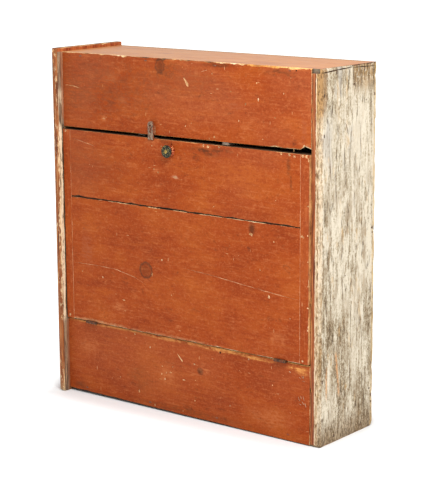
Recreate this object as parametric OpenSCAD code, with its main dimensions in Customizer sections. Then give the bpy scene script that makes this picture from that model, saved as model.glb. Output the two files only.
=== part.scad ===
// Antique pine chest: a shallow nailed box with two end boards and a fall-front door.
// The door hangs on two butt hinges along its lower edge, and a knob turns a latch bar behind it.
// The modules work from the lower left front corner of the box, and placed() centres the part.

/* [Case] */
// Clear width between the two end boards
case_w = 661; // [560:1:900]
// Height from the underside of the bottom board to the top face
case_h = 760; // [640:1:1000]
// Depth from the front face of the boards to the back
case_d = 195; // [140:1:320]
// Height of the bottom board above the floor
floor_gap = 4.5; // [4:0.5:12]
// Thickness of the left end board
left_t = 15; // [12:0.5:28]
// Thickness of the right end board
right_t = 23; // [16:0.5:32]
// Thickness of the top board
top_t = 20; // [15:0.5:28]
// Thickness of the bottom board
bottom_t = 20; // [15:0.5:28]
// Thickness of the back planks
back_t = 12; // [9:0.5:18]
// Gap between neighbouring back planks
plank_gap = 1; // [0.4:0.1:3]
// How far the left end board stands out past the front
lip_front = 19; // [18.5:0.5:30]
// How far the left end board stands up past the top
lip_top = 8; // [2:0.5:20]
// Rounding of the left end board's front arrises
lip_round = 4; // [1:0.5:6]
// Rounding of the end boards' corners
corner_round = 7; // [2:0.5:12]
// Rounding of the right end board's outer front arris
right_round = 8; // [2:0.5:14]
// Rounding of the worn heel at the back of the right end board
heel_round = 14; // [4:0.5:18]

/* [Worn corner] */
// Length of the split along the right end board's top arris
split_len = 107; // [40:1:140]
// Height of the split at the front
split_h = 6; // [2:0.5:12]
// Width of the split at the front
split_w = 4; // [2:0.5:10]
// Share of the split left at its far end
split_end = 0.45; // [0.2:0.05:0.9]
// Height of the piece broken from the front top corner
break_h = 9; // [3:0.5:16]
// Depth of the piece broken from the front top corner
break_d = 5; // [2:0.5:10]

/* [Front boards] */
// Thickness of the two fixed front boards
front_t = 20; // [15:0.5:28]
// Height of the top front board at its left end
front_top_h = 163; // [130:1:220]
// How much less high the top front board is at its right end
gap_taper = 3; // [0:0.5:8]
// Width of the notch broken from the top front board's lower right corner
notch_w = 27; // [21:1:50]
// Distance of the notch's peak from the board's end
notch_peak = 17; // [3:1:20]
// Height of that notch at its peak
notch_h = 6; // [2:0.5:14]
// Height of that notch at the board's end
notch_end = 2; // [0.5:0.5:8]
// Height of the bottom front board
front_bottom_h = 164; // [130:1:220]
// How far the bottom front board's lower edge falls towards the right
sill_drop = 3; // [0:0.5:4]

/* [Door] */
// Gap above the door at its left end
top_gap = 5.5; // [4.5:0.5:12]
// Gap between the bottom front board and the door
seam_gap = 2.5; // [1:0.5:3]
// Gap between the door and each end board
side_gap = 1.2; // [0.8:0.1:5]
// How far the door stands out past the fixed front boards
door_proud = 5; // [0.5:0.5:8]
// Clearance between the shut door and its stop
stop_fit = 0.3; // [0.2:0.1:1]
// Height of the upper door board
door_upper_h = 146; // [90:1:180]
// Open seam between the two door boards
board_seam = 1.6; // [0.5:0.1:3]
// Width of the cleats across the door's ends
cleat_w = 21; // [18:1:45]
// Length of the tongues on the door boards
tongue_l = 9; // [5:0.5:14]
// Thickness of the tongues
tongue_t = 7; // [4:0.5:9]
// Clearance round the tongues
tongue_fit = 0.2; // [0.1:0.05:0.4]

/* [Hinges] */
// Length of each hinge
hinge_len = 28; // [24:1:60]
// Distance from the left end board to the middle of the left hinge
hinge_left_inset = 77; // [50:1:140]
// Distance from the right end board to the middle of the right hinge
hinge_right_inset = 69; // [50:1:140]
// Reach of the leaves behind the pin
leaf_w = 19; // [15:0.5:20]
// Thickness of a leaf
leaf_t = 1.5; // [1:0.1:2.5]
// Gap between the shut leaves
leaf_gap = 0.4; // [0.2:0.1:1]
// Outer radius of the knuckles
knuckle_r = 3.25; // [3:0.25:5]
// Gap between neighbouring knuckles
knuckle_gap = 0.25; // [0.15:0.05:0.6]
// Radius of the hinge pin
pin_r = 1.5; // [1.25:0.05:2.2]
// Height of the head on each end of the pin
pin_head_h = 1.2; // [0.8:0.1:2]
// Distance of the pin in front of the door's face
pin_out = 2; // [1:0.25:3.5]
// Radius of the hinge screws
screw_r = 1.6; // [1.2:0.1:2]
// Radius of the screw heads
screw_head_r = 3; // [2.4:0.1:3.4]
// Length of the hinge screws
screw_len = 16; // [10:1:24]
// Distance between the two screws of a leaf
screw_pitch = 16; // [12:1:18]

/* [Knob and latch] */
// Distance of the knob from the left end board
knob_x = 308; // [286:1:340]
// Distance of the knob's axis below the door's top edge
knob_drop = 22; // [19:0.5:40]
// Diameter of the knob
knob_d = 27; // [22:0.5:36]
// Diameter of the knob's foot
knob_foot_d = 23; // [16:0.5:30]
// Diameter of the knob's neck
knob_neck_d = 14; // [10:0.5:16]
// Length of the knob
knob_len = 16; // [12:0.5:16.5]
// Thickness of the knob's foot
knob_foot_h = 3; // [1.5:0.25:4]
// Thickness of the knob's rim
knob_rim_h = 5.5; // [3:0.25:6.5]
// Height over which the neck flares into the foot and the rim
knob_flare = 2; // [1:0.25:2.5]
// Diameter of the bolt through the knob and the door
bolt_d = 6; // [4:0.5:8]
// Diameter of the bolt's head
bolt_head_d = 8; // [8:0.5:10]
// Height of the bolt's head
bolt_head_h = 1.6; // [1:0.1:3]
// Thickness of the washer behind the door
washer_t = 1; // [0.8:0.1:2]
// Diameter of that washer
washer_d = 18; // [12:0.5:24]
// Length of the latch bar from the knob's axis to its tip
bar_len = 112; // [90:1:116]
// Length of the latch bar past the knob's axis
bar_tail = 16; // [10:1:24]
// Width of the latch bar
bar_w = 16; // [12:0.5:22]
// Thickness of the latch bar
bar_t = 12; // [8:0.5:16]
// Slope of the latch bar as it stands unlatched
bar_tilt = 9; // [0:0.5:9]
// Width of the square nut across its flats
nut_w = 11; // [9:0.5:14]
// Thickness of the nut
nut_t = 4; // [3:0.5:6]
// How far the bolt passes the nut
bolt_past = 2; // [1:0.5:5]
// Clearance of the bolt in its holes
bolt_fit = 0.05; // [0.02:0.01:0.09]
// Running gap between the turning pieces and the door
turn_gap = 0.3; // [0.2:0.05:0.6]

/* [Hasp] */
// Distance of the hasp's middle from the left end board
hasp_x = 256; // [236:1:268]
// Width of the hasp strap
strap_w = 14; // [12:0.5:20]
// Thickness of the hasp strap
strap_t = 4; // [1.5:0.1:5]
// Height of the strap above the door's top edge
strap_h = 36; // [32:0.5:50]
// Gap between the strap and the top front board
strap_stand = 5; // [0.5:0.1:8]
// Reach of the strap's foot over the door's top edge
strap_foot = 16; // [12:0.5:18]
// Depth that the strap's foot is let into the door
strap_sink = 3; // [0.5:0.1:5]
// Clearance of the staple in the strap's slot
slot_fit = 1.25; // [0.75:0.05:2]
// Distance of the slot's middle below the strap's top
slot_drop = 16; // [14:0.5:18]
// Diameter of the staple's wire
staple_d = 3; // [2:0.1:3.5]
// Distance between the staple's legs
staple_pitch = 12; // [9:0.5:13]
// Straight length of the staple in front of the board
staple_out = 4; // [1:0.25:8]
// Depth of the staple's legs in the board
staple_in = 14; // [8:0.5:18]
// Distance between the two nails in the strap's foot
hasp_nail_pitch = 7; // [5.5:0.25:7]

/* [Door stop] */
// Distance of the door stop from the left end board
stop_x = 440; // [423:1:480]
// Width of the door stop
stop_w = 15; // [10:0.5:30]
// Thickness of the door stop
stop_t = 14; // [10:0.5:20]
// Height of the door stop against the board
stop_h = 46; // [30:1:80]
// How far the door stop reaches below the board
stop_reach = 18; // [10:1:40]
// Distance between the two nails of the door stop
stop_nail_pitch = 20; // [10:1:24]
// Distance of the stop's toe behind the front face
toe_inset = 1.5; // [1:0.5:10]
// Clearance between the stop's toe and the door's top edge
toe_gap = 1.5; // [1.2:0.1:3]

/* [Nails] */
// Length of the case nails
nail_len = 42; // [36:1:50]
// Width of a nail under its head
nail_w = 4; // [3:0.25:5]
// Width of a nail at its tip
nail_tip_w = 2; // [1.5:0.25:3]
// Thickness of a nail
nail_t = 2.6; // [2:0.1:3.5]
// Width of a nail's head
nail_head_w = 6.5; // [5.5:0.25:8]
// Thickness of a nail's head
nail_head_t = 1.8; // [1:0.1:3]
// How far the heads stand out
nail_proud = 0.4; // [0.2:0.1:1]
// Distance of the nails from the edges of the boards
nail_edge = 32; // [20:1:44]
// Distance of the front nails from the end boards
front_nail_inset = 53.5; // [30:0.5:80]
// Distance of the front nails below the top face
front_nail_drop = 7; // [6:0.5:14]
// Distance of the outer nails in the back edges from the top and the bottom
back_nail_inset = 64; // [40:1:120]
// Height of the middle nails in the back edges above the underside
middle_nail_h = 421; // [300:1:480]
// How far the small nails of the strap and the stop bite into the wood
small_bite = 10; // [6:0.5:14]
// Width of the small nails
small_nail_w = 2; // [1.5:0.1:3]
// Width of the small nails' heads
small_head_w = 4; // [3:0.25:5]

/* [Hidden] */
$fn = 48;
eps = 0.01;

// Outer sizes of the whole part, and the shift that centres it over the floor
total_w = left_t + case_w + right_t;
front_reach = max(lip_front, door_proud + turn_gap + knob_len);
shift_x = left_t - total_w / 2;
shift_y = (front_reach - case_d - nail_proud) / 2;

// Heights above the floor
box_top = floor_gap + case_h;
left_top = box_top + lip_top;
sill_z = floor_gap + front_bottom_h;
door_z = sill_z + seam_gap;
lintel_z = box_top - front_top_h;
door_top = lintel_z - top_gap;
door_h = door_top - door_z;
door_lower_h = door_h - door_upper_h - board_seam;

// Depths behind the front face of the fixed boards
door_y = -door_proud;
door_back = front_t - stop_fit;
door_t = door_back - door_y;
back_y = case_d - back_t;
plank_count = 4;
plank_w = (case_w - (plank_count - 1) * plank_gap) / plank_count;

// Door boards between the two cleats
door_left = side_gap;
field_left = door_left + cleat_w;
field_w = case_w - 2 * (side_gap + cleat_w);
tongue_y = door_y + (door_t - tongue_t) / 2;

// Hinge axis in the seam, and the leaves on either side of it
pin_y = door_y - pin_out;
pin_z = sill_z + seam_gap / 2;
hinge_x = [hinge_left_inset, case_w - hinge_right_inset];
knuckle_l = (hinge_len - 2 * knuckle_gap) / 3;
knuckle_room = 0.4;
mortise_room = 0.2;
leaf_y = pin_y + knuckle_r + knuckle_room;
leaf_end = pin_y + leaf_w;
screw_y = (max(leaf_y, 0) + leaf_end) / 2;
screw_tip_h = 3;
screw_tip_r = 0.4;
screw_room = 0.05;
pin_room = 0.05;
pin_head_r = (pin_r + knuckle_r) / 2;

// Knob and latch along their common axis
knob_z = door_top - knob_drop;
knob_y = door_y - turn_gap;
washer_y = door_back + turn_gap;
bar_y = washer_y + washer_t;
nut_y = bar_y + bar_t;
bolt_end = nut_y + nut_t + bolt_past;

// Hasp strap and staple
strap_top = door_top + strap_h;
strap_y = -strap_stand - strap_t;
strap_foot_z = door_top - strap_sink;
slot_z = strap_top - slot_drop;
slot_w = staple_d + 2 * slot_fit;
slot_h = staple_pitch + slot_w;
staple_r = staple_d / 2;
staple_bow = staple_pitch / 2;

// Nail places as pairs across the face that each group is driven through
board_nail_y = [front_t + nail_edge, back_y - nail_edge];
top_nail_z = box_top - top_t / 2;
bottom_nail_z = floor_gap + bottom_t / 2;
front_nail_y = front_t / 2;
back_nail_y = case_d - back_t / 2;
end_nails = [
    for (y = board_nail_y, z = [top_nail_z, bottom_nail_z]) [y, z],
    for (z = [lintel_z + nail_edge, box_top - top_t - nail_edge]) [front_nail_y, z],
    for (z = [sill_z - nail_edge, floor_gap + bottom_t + nail_edge]) [front_nail_y, z],
    for (h = [back_nail_inset, middle_nail_h, case_h - back_nail_inset]) [back_nail_y, floor_gap + h]
];
front_nail_count = 4;
front_nail_step = (case_w - 2 * front_nail_inset) / (front_nail_count - 1);
front_nail_x = [for (i = [0 : front_nail_count - 1]) front_nail_inset + i * front_nail_step];
front_nail_z = [box_top - front_nail_drop, bottom_nail_z];

// How far the worn heel reaches into the last back plank, clear of its nails
heel_reach = nail_edge / 2;

// Cuts and small shapes that several pieces share

module placed() {
    translate([shift_x, shift_y, 0]) children();
}

// Waste outside a rounded arris along +Z, with the arris at the origin and the board on +X +Y
module arris_waste(r, length) {
    difference() {
        translate([-eps, -eps, -eps]) cube([r + eps, r + eps, length + 2 * eps]);
        translate([r, r, -2 * eps]) cylinder(r = r, h = length + 4 * eps);
    }
}

// A plate standing in the front plane, extruded towards the back from depth y
module front_plate(y, t) {
    translate([0, y + t, 0]) rotate([90, 0, 0]) linear_extrude(t) children();
}

// A round bar or bore along Y
module rod_y(r, x, y, z, length) {
    translate([x, y, z]) rotate([-90, 0, 0]) cylinder(r = r, h = length);
}

// A round bar or bore along X
module rod_x(r, x, y, z, length) {
    translate([x, y, z]) rotate([0, 90, 0]) cylinder(r = r, h = length);
}

// Cut nail driven along -Z from a face at z = 0, wedge shaped in one direction only
module cut_nail() {
    under = nail_proud - nail_head_t;
    rotate([90, 0, 0]) translate([0, 0, -nail_t / 2]) linear_extrude(nail_t) polygon([
        [-nail_head_w / 2, nail_proud], [nail_head_w / 2, nail_proud], [nail_head_w / 2, under],
        [nail_w / 2, under], [nail_tip_w / 2, -nail_len], [-nail_tip_w / 2, -nail_len],
        [-nail_w / 2, under], [-nail_head_w / 2, under]
    ]);
}

// Small square nail driven along -Z with its head standing on the face at z = 0
module small_nail(length) {
    translate([-small_nail_w / 2, -small_nail_w / 2, -length]) cube([small_nail_w, small_nail_w, length]);
    translate([-small_head_w / 2, -small_head_w / 2, 0]) cube([small_head_w, small_head_w, nail_proud]);
}

module left_nail_set() {
    for (p = end_nails) translate([-left_t, p[0], p[1]]) rotate([0, -90, 0]) cut_nail();
}

module right_nail_set() {
    for (p = end_nails) translate([case_w + right_t, p[0], p[1]]) rotate([0, 90, 0]) cut_nail();
}

module front_nail_set() {
    for (x = front_nail_x, z = front_nail_z)
        translate([x, 0, z]) rotate([90, 0, 0]) cut_nail();
}

module back_nail_set() {
    for (i = [0 : plank_count - 1], x = [nail_edge, plank_w - nail_edge], z = [top_nail_z, bottom_nail_z])
        translate([i * (plank_w + plank_gap) + x, case_d, z]) rotate([-90, 0, 0]) cut_nail();
}

module stop_nail_set() {
    for (side = [-1, 1])
        translate([stop_x + stop_w / 2, front_t + stop_t, lintel_z + (stop_h + side * stop_nail_pitch) / 2])
            rotate([-90, 0, 0]) small_nail(stop_t + small_bite);
}

module hasp_nail_set() {
    nail_y = (door_y + strap_y + strap_foot) / 2;
    for (side = [-1, 1])
        translate([hasp_x + side * hasp_nail_pitch / 2, nail_y, strap_foot_z + strap_t])
            small_nail(strap_t + small_bite);
}

// Countersunk screw along -Z with its head level at z = 0, swelled by room for its hole
module hinge_screw(room = 0) {
    cone_h = min(leaf_t, screw_head_r - screw_r);
    translate([0, 0, -cone_h]) cylinder(r1 = screw_r + room, r2 = screw_head_r + room, h = cone_h);
    translate([0, 0, screw_tip_h - screw_len])
        cylinder(r = screw_r + room, h = screw_len - screw_tip_h - cone_h + eps);
    translate([0, 0, -screw_len]) cylinder(r1 = screw_tip_r + room, r2 = screw_r + room, h = screw_tip_h);
}

module screws_at(x, room = 0) {
    for (side = [-1, 1])
        translate([x + side * screw_pitch / 2, screw_y, pin_z - leaf_gap / 2]) hinge_screw(room);
}

// Mirror that turns a case leaf's pieces into those of the door
module above_seam() {
    translate([0, 0, pin_z]) mirror([0, 0, 1]) translate([0, 0, -pin_z]) children();
}

// Plate of a case leaf, without its knuckles
module leaf_plate(x) {
    translate([x - hinge_len / 2, leaf_y, pin_z - leaf_gap / 2 - leaf_t])
        cube([hinge_len, leaf_end - leaf_y, leaf_t]);
}

// One knuckle, number 0 to 2 from the left, and the neck that joins it to its plate
module knuckle(x, number) {
    start = x - hinge_len / 2 + number * (knuckle_l + knuckle_gap);
    rod_x(knuckle_r, start, pin_y, pin_z, knuckle_l);
    translate([start, pin_y, pin_z - leaf_gap / 2 - leaf_t])
        cube([knuckle_l, leaf_y - pin_y + eps, leaf_t]);
}

module pin_bore(x) {
    rod_x(pin_r + pin_room, x - hinge_len, pin_y, pin_z, 2 * hinge_len);
}

module case_leaf(x) {
    difference() {
        union() {
            leaf_plate(x);
            knuckle(x, 0);
            knuckle(x, 2);
        }
        pin_bore(x);
        screws_at(x, screw_room);
    }
}

module door_leaf(x) {
    above_seam() difference() {
        union() {
            leaf_plate(x);
            knuckle(x, 1);
        }
        pin_bore(x);
        screws_at(x, screw_room);
    }
}

module hinge_pin(x) {
    rod_x(pin_r, x - hinge_len / 2 - pin_head_h, pin_y, pin_z, hinge_len + 2 * pin_head_h);
    for (head_x = [x - hinge_len / 2 - pin_head_h, x + hinge_len / 2])
        rod_x(pin_head_r, head_x, pin_y, pin_z, pin_head_h);
}

// Mortise, knuckle notch and screw holes of one hinge in the bottom front board
module hinge_waste(x) {
    half = hinge_len / 2 + mortise_room;
    end_room = pin_head_h + knuckle_room;
    translate([x - half, pin_y, pin_z - leaf_gap / 2 - leaf_t])
        cube([2 * half, leaf_end - pin_y + mortise_room, leaf_t + leaf_gap]);
    rod_x(knuckle_r + knuckle_room, x - hinge_len / 2 - end_room, pin_y, pin_z, hinge_len + 2 * end_room);
    screws_at(x, screw_room);
}

// Case boards

// Corner worn off the right end board's heel and the end of the last back plank
module heel_waste() {
    translate([case_w - heel_reach, case_d, 0]) rotate([90, 0, 90]) mirror([1, 0, 0])
        arris_waste(heel_round, heel_reach + right_t);
}

module left_end_board() {
    height = left_top;
    color("#8f4526") placed() difference() {
        translate([-left_t, -lip_front, 0]) cube([left_t, lip_front + case_d, height]);
        translate([-left_t, -lip_front, 0]) arris_waste(lip_round, height);
        translate([0, -lip_front, 0]) mirror([1, 0, 0]) arris_waste(lip_round, height);
        translate([-left_t, -lip_front, 0]) rotate([90, 0, 90]) arris_waste(corner_round, left_t);
        translate([-left_t, -lip_front, height]) rotate([90, 0, 90]) mirror([0, 1, 0])
            arris_waste(corner_round, left_t);
        left_nail_set();
    }
}

module right_end_board() {
    outer = case_w + right_t;
    far = split_end;
    color("#e6dcc4") placed() difference() {
        translate([case_w, 0, 0]) cube([right_t, case_d, box_top]);
        translate([outer, 0, 0]) mirror([1, 0, 0]) arris_waste(right_round, box_top);
        translate([case_w, 0, 0]) rotate([90, 0, 90]) arris_waste(corner_round, right_t);
        heel_waste();
        translate([case_w - eps, -eps, box_top - break_h])
            cube([right_t - split_w + eps, break_d + eps, break_h + eps]);
        polyhedron(
            points = [
                [outer - split_w, -eps, box_top + eps], [outer + eps, -eps, box_top + eps],
                [outer + eps, -eps, box_top - split_h],
                [outer - far * split_w, split_len, box_top + eps], [outer + eps, split_len, box_top + eps],
                [outer + eps, split_len, box_top - far * split_h]
            ],
            faces = [[0, 1, 2], [5, 4, 3], [0, 3, 4, 1], [1, 4, 5, 2], [2, 5, 3, 0]]
        );
        right_nail_set();
    }
}

module top_board() {
    color("#d79b74") placed() difference() {
        translate([0, front_t, box_top - top_t]) cube([case_w, back_y - front_t, top_t]);
        left_nail_set();
        right_nail_set();
        front_nail_set();
        back_nail_set();
    }
}

module bottom_board() {
    color("#9a6a45") placed() difference() {
        translate([0, front_t, floor_gap]) cube([case_w, back_y - front_t, bottom_t]);
        left_nail_set();
        right_nail_set();
        front_nail_set();
        back_nail_set();
    }
}

module back_plank(number) {
    color("#a67c56") placed() difference() {
        translate([(number - 1) * (plank_w + plank_gap), back_y, floor_gap]) cube([plank_w, back_t, case_h]);
        back_nail_set();
        if (number == 1) left_nail_set();
        if (number == plank_count) right_nail_set();
        if (number == plank_count) heel_waste();
    }
}

module front_top_board() {
    notch_x = case_w - notch_w;
    notch_peak_x = case_w - notch_peak;
    notch_z = lintel_z + gap_taper * notch_x / case_w;
    color("#b4552d") placed() difference() {
        front_plate(0, front_t) polygon([
            [0, box_top], [0, lintel_z], [notch_x, notch_z], [notch_peak_x, notch_z + notch_h],
            [case_w, lintel_z + gap_taper + notch_end], [case_w, box_top]
        ]);
        left_nail_set();
        right_nail_set();
        front_nail_set();
        stop_nail_set();
        for (side = [-1, 1])
            rod_y(staple_r + bolt_fit, hasp_x, -eps, slot_z + side * staple_bow, staple_in + eps);
    }
}

module front_bottom_board() {
    color("#b4552d") placed() difference() {
        front_plate(0, front_t) polygon([
            [0, sill_z], [0, floor_gap], [case_w, floor_gap - sill_drop], [case_w, sill_z]
        ]);
        left_nail_set();
        right_nail_set();
        front_nail_set();
        for (x = hinge_x) hinge_waste(x);
    }
}

// Block behind the top front board that the shut door comes up against, with a toe under the board's edge
module door_stop() {
    edge_z = lintel_z + gap_taper * stop_x / case_w;
    toe_z = door_top + toe_gap;
    color("#a3907b") placed() difference() {
        union() {
            translate([stop_x, front_t, lintel_z - stop_reach]) cube([stop_w, stop_t, stop_h + stop_reach]);
            translate([stop_x, toe_inset, toe_z]) cube([stop_w, front_t - toe_inset + eps, edge_z - toe_z]);
        }
        stop_nail_set();
    }
}

module door_stop_nails() {
    color("#4a4038") placed() stop_nail_set();
}

module left_end_nails() {
    color("#4a4038") placed() left_nail_set();
}

module right_end_nails() {
    color("#4a4038") placed() right_nail_set();
}

module front_nails() {
    color("#6f4632") placed() front_nail_set();
}

module back_nails() {
    color("#4a4038") placed() back_nail_set();
}

// Wire staple with its bow standing out through the slot of the strap
module hasp_staple() {
    color("#8f4a34") placed() {
        for (side = [-1, 1])
            rod_y(staple_r, hasp_x, -staple_out, slot_z + side * staple_bow, staple_in + staple_out);
        translate([hasp_x, -staple_out, slot_z]) rotate([0, 90, 0]) rotate([0, 0, 180])
            rotate_extrude(angle = 180) translate([staple_bow, 0]) circle(r = staple_r);
    }
}

module hinge_case_screws() {
    color("#3a332c") placed() for (x = hinge_x) screws_at(x);
}

// Door

// A door board from height z, with a tongue along each end
module door_board(z, height) {
    translate([field_left, door_y, z]) cube([field_w, door_t, height]);
    translate([field_left - tongue_l, tongue_y, z]) cube([field_w + 2 * tongue_l, tongue_t, height]);
}

module door_upper_board() {
    foot_w = strap_w + 2 * mortise_room;
    color("#b4552d") placed() difference() {
        door_board(door_z + door_lower_h + board_seam, door_upper_h);
        rod_y(bolt_d / 2 + bolt_fit, knob_x, door_y - eps, knob_z, door_t + 2 * eps);
        translate([hasp_x - foot_w / 2, door_y - eps, strap_foot_z])
            cube([foot_w, strap_y + strap_foot + mortise_room - door_y, strap_sink + eps]);
        hasp_nail_set();
    }
}

module door_lower_board() {
    color("#b4552d") placed() difference() {
        door_board(door_z, door_lower_h);
        above_seam() for (x = hinge_x) hinge_waste(x);
    }
}

// Cleat across the left end of the door, with a groove for the tongues
module left_cleat() {
    difference() {
        translate([door_left, door_y, door_z]) cube([cleat_w, door_t, door_h]);
        translate([field_left - tongue_l - tongue_fit, tongue_y - tongue_fit, door_z - eps])
            cube([tongue_l + tongue_fit + eps, tongue_t + 2 * tongue_fit, door_h + 2 * eps]);
    }
}

module door_left_cleat() {
    color("#b4552d") placed() left_cleat();
}

module door_right_cleat() {
    color("#b4552d") placed() translate([case_w, 0, 0]) mirror([1, 0, 0]) left_cleat();
}

module hinge_door_screws() {
    color("#3a332c") placed() above_seam() for (x = hinge_x) screws_at(x);
}

// Strap with a rounded top and a slot, its foot bent back over the door's top edge
module hasp_strap() {
    round_z = strap_top - strap_w / 2;
    slot_end = slot_h / 2 - slot_w / 2;
    color("#8d857a") placed() difference() {
        union() {
            translate([hasp_x - strap_w / 2, strap_y, strap_foot_z])
                cube([strap_w, strap_t, round_z - strap_foot_z]);
            rod_y(strap_w / 2, hasp_x, strap_y, round_z, strap_t);
            translate([hasp_x - strap_w / 2, strap_y, strap_foot_z]) cube([strap_w, strap_foot, strap_t]);
        }
        translate([hasp_x - slot_w / 2, strap_y - eps, slot_z - slot_end])
            cube([slot_w, strap_t + 2 * eps, 2 * slot_end]);
        for (side = [-1, 1])
            rod_y(slot_w / 2, hasp_x, strap_y - eps, slot_z + side * slot_end, strap_t + 2 * eps);
        hasp_nail_set();
    }
}

module hasp_nails() {
    color("#4a4038") placed() hasp_nail_set();
}

// Knob and latch

// Turned knob: a foot, a waisted neck and a round rim with a sunk middle for the bolt's head
module knob() {
    bore_r = bolt_d / 2 + bolt_fit;
    sunk_r = bolt_head_d / 2 + bolt_fit;
    rim_r = knob_rim_h / 2;
    rim_steps = 8;
    color("#3b3a30") placed() translate([knob_x, knob_y, knob_z]) rotate([90, 0, 0])
        rotate_extrude() polygon([
            [bore_r, 0], [knob_foot_d / 2, 0], [knob_foot_d / 2, knob_foot_h],
            [knob_neck_d / 2, knob_foot_h + knob_flare],
            [knob_neck_d / 2, knob_len - knob_rim_h - knob_flare],
            for (i = [0 : rim_steps])
                let (a = -90 + 180 * i / rim_steps)
                [knob_d / 2 - rim_r + rim_r * cos(a), knob_len - rim_r + rim_r * sin(a)],
            [sunk_r, knob_len], [sunk_r, knob_len - bolt_head_h], [bore_r, knob_len - bolt_head_h]
        ]);
}

// Bolt from the knob's face through the door to the nut
module latch_bolt() {
    head_y = knob_y - knob_len;
    color("#a98b4e") placed() {
        rod_y(bolt_head_d / 2, knob_x, head_y, knob_z, bolt_head_h);
        rod_y(bolt_d / 2, knob_x, head_y + bolt_head_h, knob_z, bolt_end - head_y - bolt_head_h);
    }
}

module latch_washer() {
    color("#5a534a") placed() difference() {
        rod_y(washer_d / 2, knob_x, washer_y, knob_z, washer_t);
        rod_y(bolt_d / 2 + bolt_fit, knob_x, washer_y - eps, knob_z, washer_t + 2 * eps);
    }
}

// Wooden bar that turns up behind the top front board to hold the door shut
module latch_bar() {
    color("#9b8266") placed() translate([knob_x, bar_y, knob_z]) rotate([0, bar_tilt, 0]) difference() {
        union() {
            translate([-bar_len, 0, -bar_w / 2]) cube([bar_len, bar_t, bar_w]);
            translate([0, 0, -bar_w / 2]) cube([bar_tail - bar_w / 2, bar_t, bar_w]);
            rod_y(bar_w / 2, bar_tail - bar_w / 2, 0, 0, bar_t);
        }
        rod_y(bolt_d / 2 + bolt_fit, 0, -eps, 0, bar_t + 2 * eps);
    }
}

module latch_nut() {
    color("#5a534a") placed() translate([knob_x, nut_y, knob_z]) rotate([0, bar_tilt, 0]) difference() {
        translate([-nut_w / 2, 0, -nut_w / 2]) cube([nut_w, nut_t, nut_w]);
        rod_y(bolt_d / 2 + bolt_fit, 0, -eps, 0, nut_t + 2 * eps);
    }
}

left_end_board();
right_end_board();
top_board();
bottom_board();
back_plank(1);  // back_plank_1
back_plank(2);  // back_plank_2
back_plank(3);  // back_plank_3
back_plank(4);  // back_plank_4
front_top_board();
front_bottom_board();
door_stop();
door_stop_nails();
left_end_nails();
right_end_nails();
front_nails();
back_nails();
hasp_staple();
color("#4a4038") placed() case_leaf(hinge_x[0]);  // hinge_left_case_leaf
color("#4a4038") placed() case_leaf(hinge_x[1]);  // hinge_right_case_leaf
color("#5a534a") placed() hinge_pin(hinge_x[0]);  // hinge_left_pin
color("#5a534a") placed() hinge_pin(hinge_x[1]);  // hinge_right_pin
hinge_case_screws();
door_upper_board();
door_lower_board();
door_left_cleat();
door_right_cleat();
color("#4a4038") placed() door_leaf(hinge_x[0]);  // hinge_left_door_leaf
color("#4a4038") placed() door_leaf(hinge_x[1]);  // hinge_right_door_leaf
hinge_door_screws();
hasp_strap();
hasp_nails();
knob();
latch_bolt();
latch_washer();
latch_bar();
latch_nut();
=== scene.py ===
# Looks of the antique pine chest: worn red paint on the front and top, peeling cream paint on the
# right end, bare pine behind and inside, rusty iron fittings and a dark turned knob.
import math

import bpy
import numpy as np
from mathutils import Matrix, Vector, noise


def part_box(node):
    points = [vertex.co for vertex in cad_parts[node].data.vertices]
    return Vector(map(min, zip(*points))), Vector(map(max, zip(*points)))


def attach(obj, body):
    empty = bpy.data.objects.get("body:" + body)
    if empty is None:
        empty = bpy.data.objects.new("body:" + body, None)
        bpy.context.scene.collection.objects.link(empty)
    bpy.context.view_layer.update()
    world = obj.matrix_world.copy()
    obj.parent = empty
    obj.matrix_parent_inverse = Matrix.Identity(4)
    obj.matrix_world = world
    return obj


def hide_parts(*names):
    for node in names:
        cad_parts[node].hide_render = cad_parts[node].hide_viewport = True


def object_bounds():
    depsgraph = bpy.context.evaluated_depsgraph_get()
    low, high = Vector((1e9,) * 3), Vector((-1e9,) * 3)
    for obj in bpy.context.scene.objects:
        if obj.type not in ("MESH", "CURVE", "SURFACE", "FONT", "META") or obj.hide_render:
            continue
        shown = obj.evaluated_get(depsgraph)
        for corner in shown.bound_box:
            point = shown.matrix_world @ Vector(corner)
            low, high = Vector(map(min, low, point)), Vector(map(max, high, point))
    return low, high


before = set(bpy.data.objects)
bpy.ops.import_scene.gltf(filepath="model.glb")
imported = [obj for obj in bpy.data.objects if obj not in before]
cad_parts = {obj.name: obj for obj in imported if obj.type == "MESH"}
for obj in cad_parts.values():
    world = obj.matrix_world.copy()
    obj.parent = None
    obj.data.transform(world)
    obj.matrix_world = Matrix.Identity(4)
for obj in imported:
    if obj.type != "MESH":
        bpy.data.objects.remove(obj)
cad_low, cad_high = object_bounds()

MM = 0.001
LEFT, RIGHT = Vector((-1, 0, 0)), Vector((1, 0, 0))
FRONT, BACK = Vector((0, -1, 0)), Vector((0, 1, 0))
DOWN, UP = Vector((0, 0, -1)), Vector((0, 0, 1))
ALONG_X, ALONG_Z = (1, 0, 0), (0, 0, 1)

# Faces of the chest that places on it are measured from
outer_left, inner_left = (corner.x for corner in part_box("left_end_board"))
inner_right, outer_right = (corner.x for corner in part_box("right_end_board"))
case_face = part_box("front_top_board")[0].y
case_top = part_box("top_board")[1].z
door_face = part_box("door_lower_board")[0].y
door_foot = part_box("door_lower_board")[0].z
door_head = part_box("door_upper_board")[1].z
field_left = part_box("door_left_cleat")[1].x
field_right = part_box("door_right_cleat")[0].x

# Point that marks are measured from, just inside the left end board and just under the bottom board
CORNER_STEP = 3 * MM
corner_x = inner_left + CORNER_STEP
corner_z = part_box("bottom_board")[0].z - CORNER_STEP
# How far the door's marks shift, because it stands out towards the eye, and how high the case is
DOOR_RIGHT, DOOR_UP = 2.9, 0.9
CASE_HEAD = 763


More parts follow.
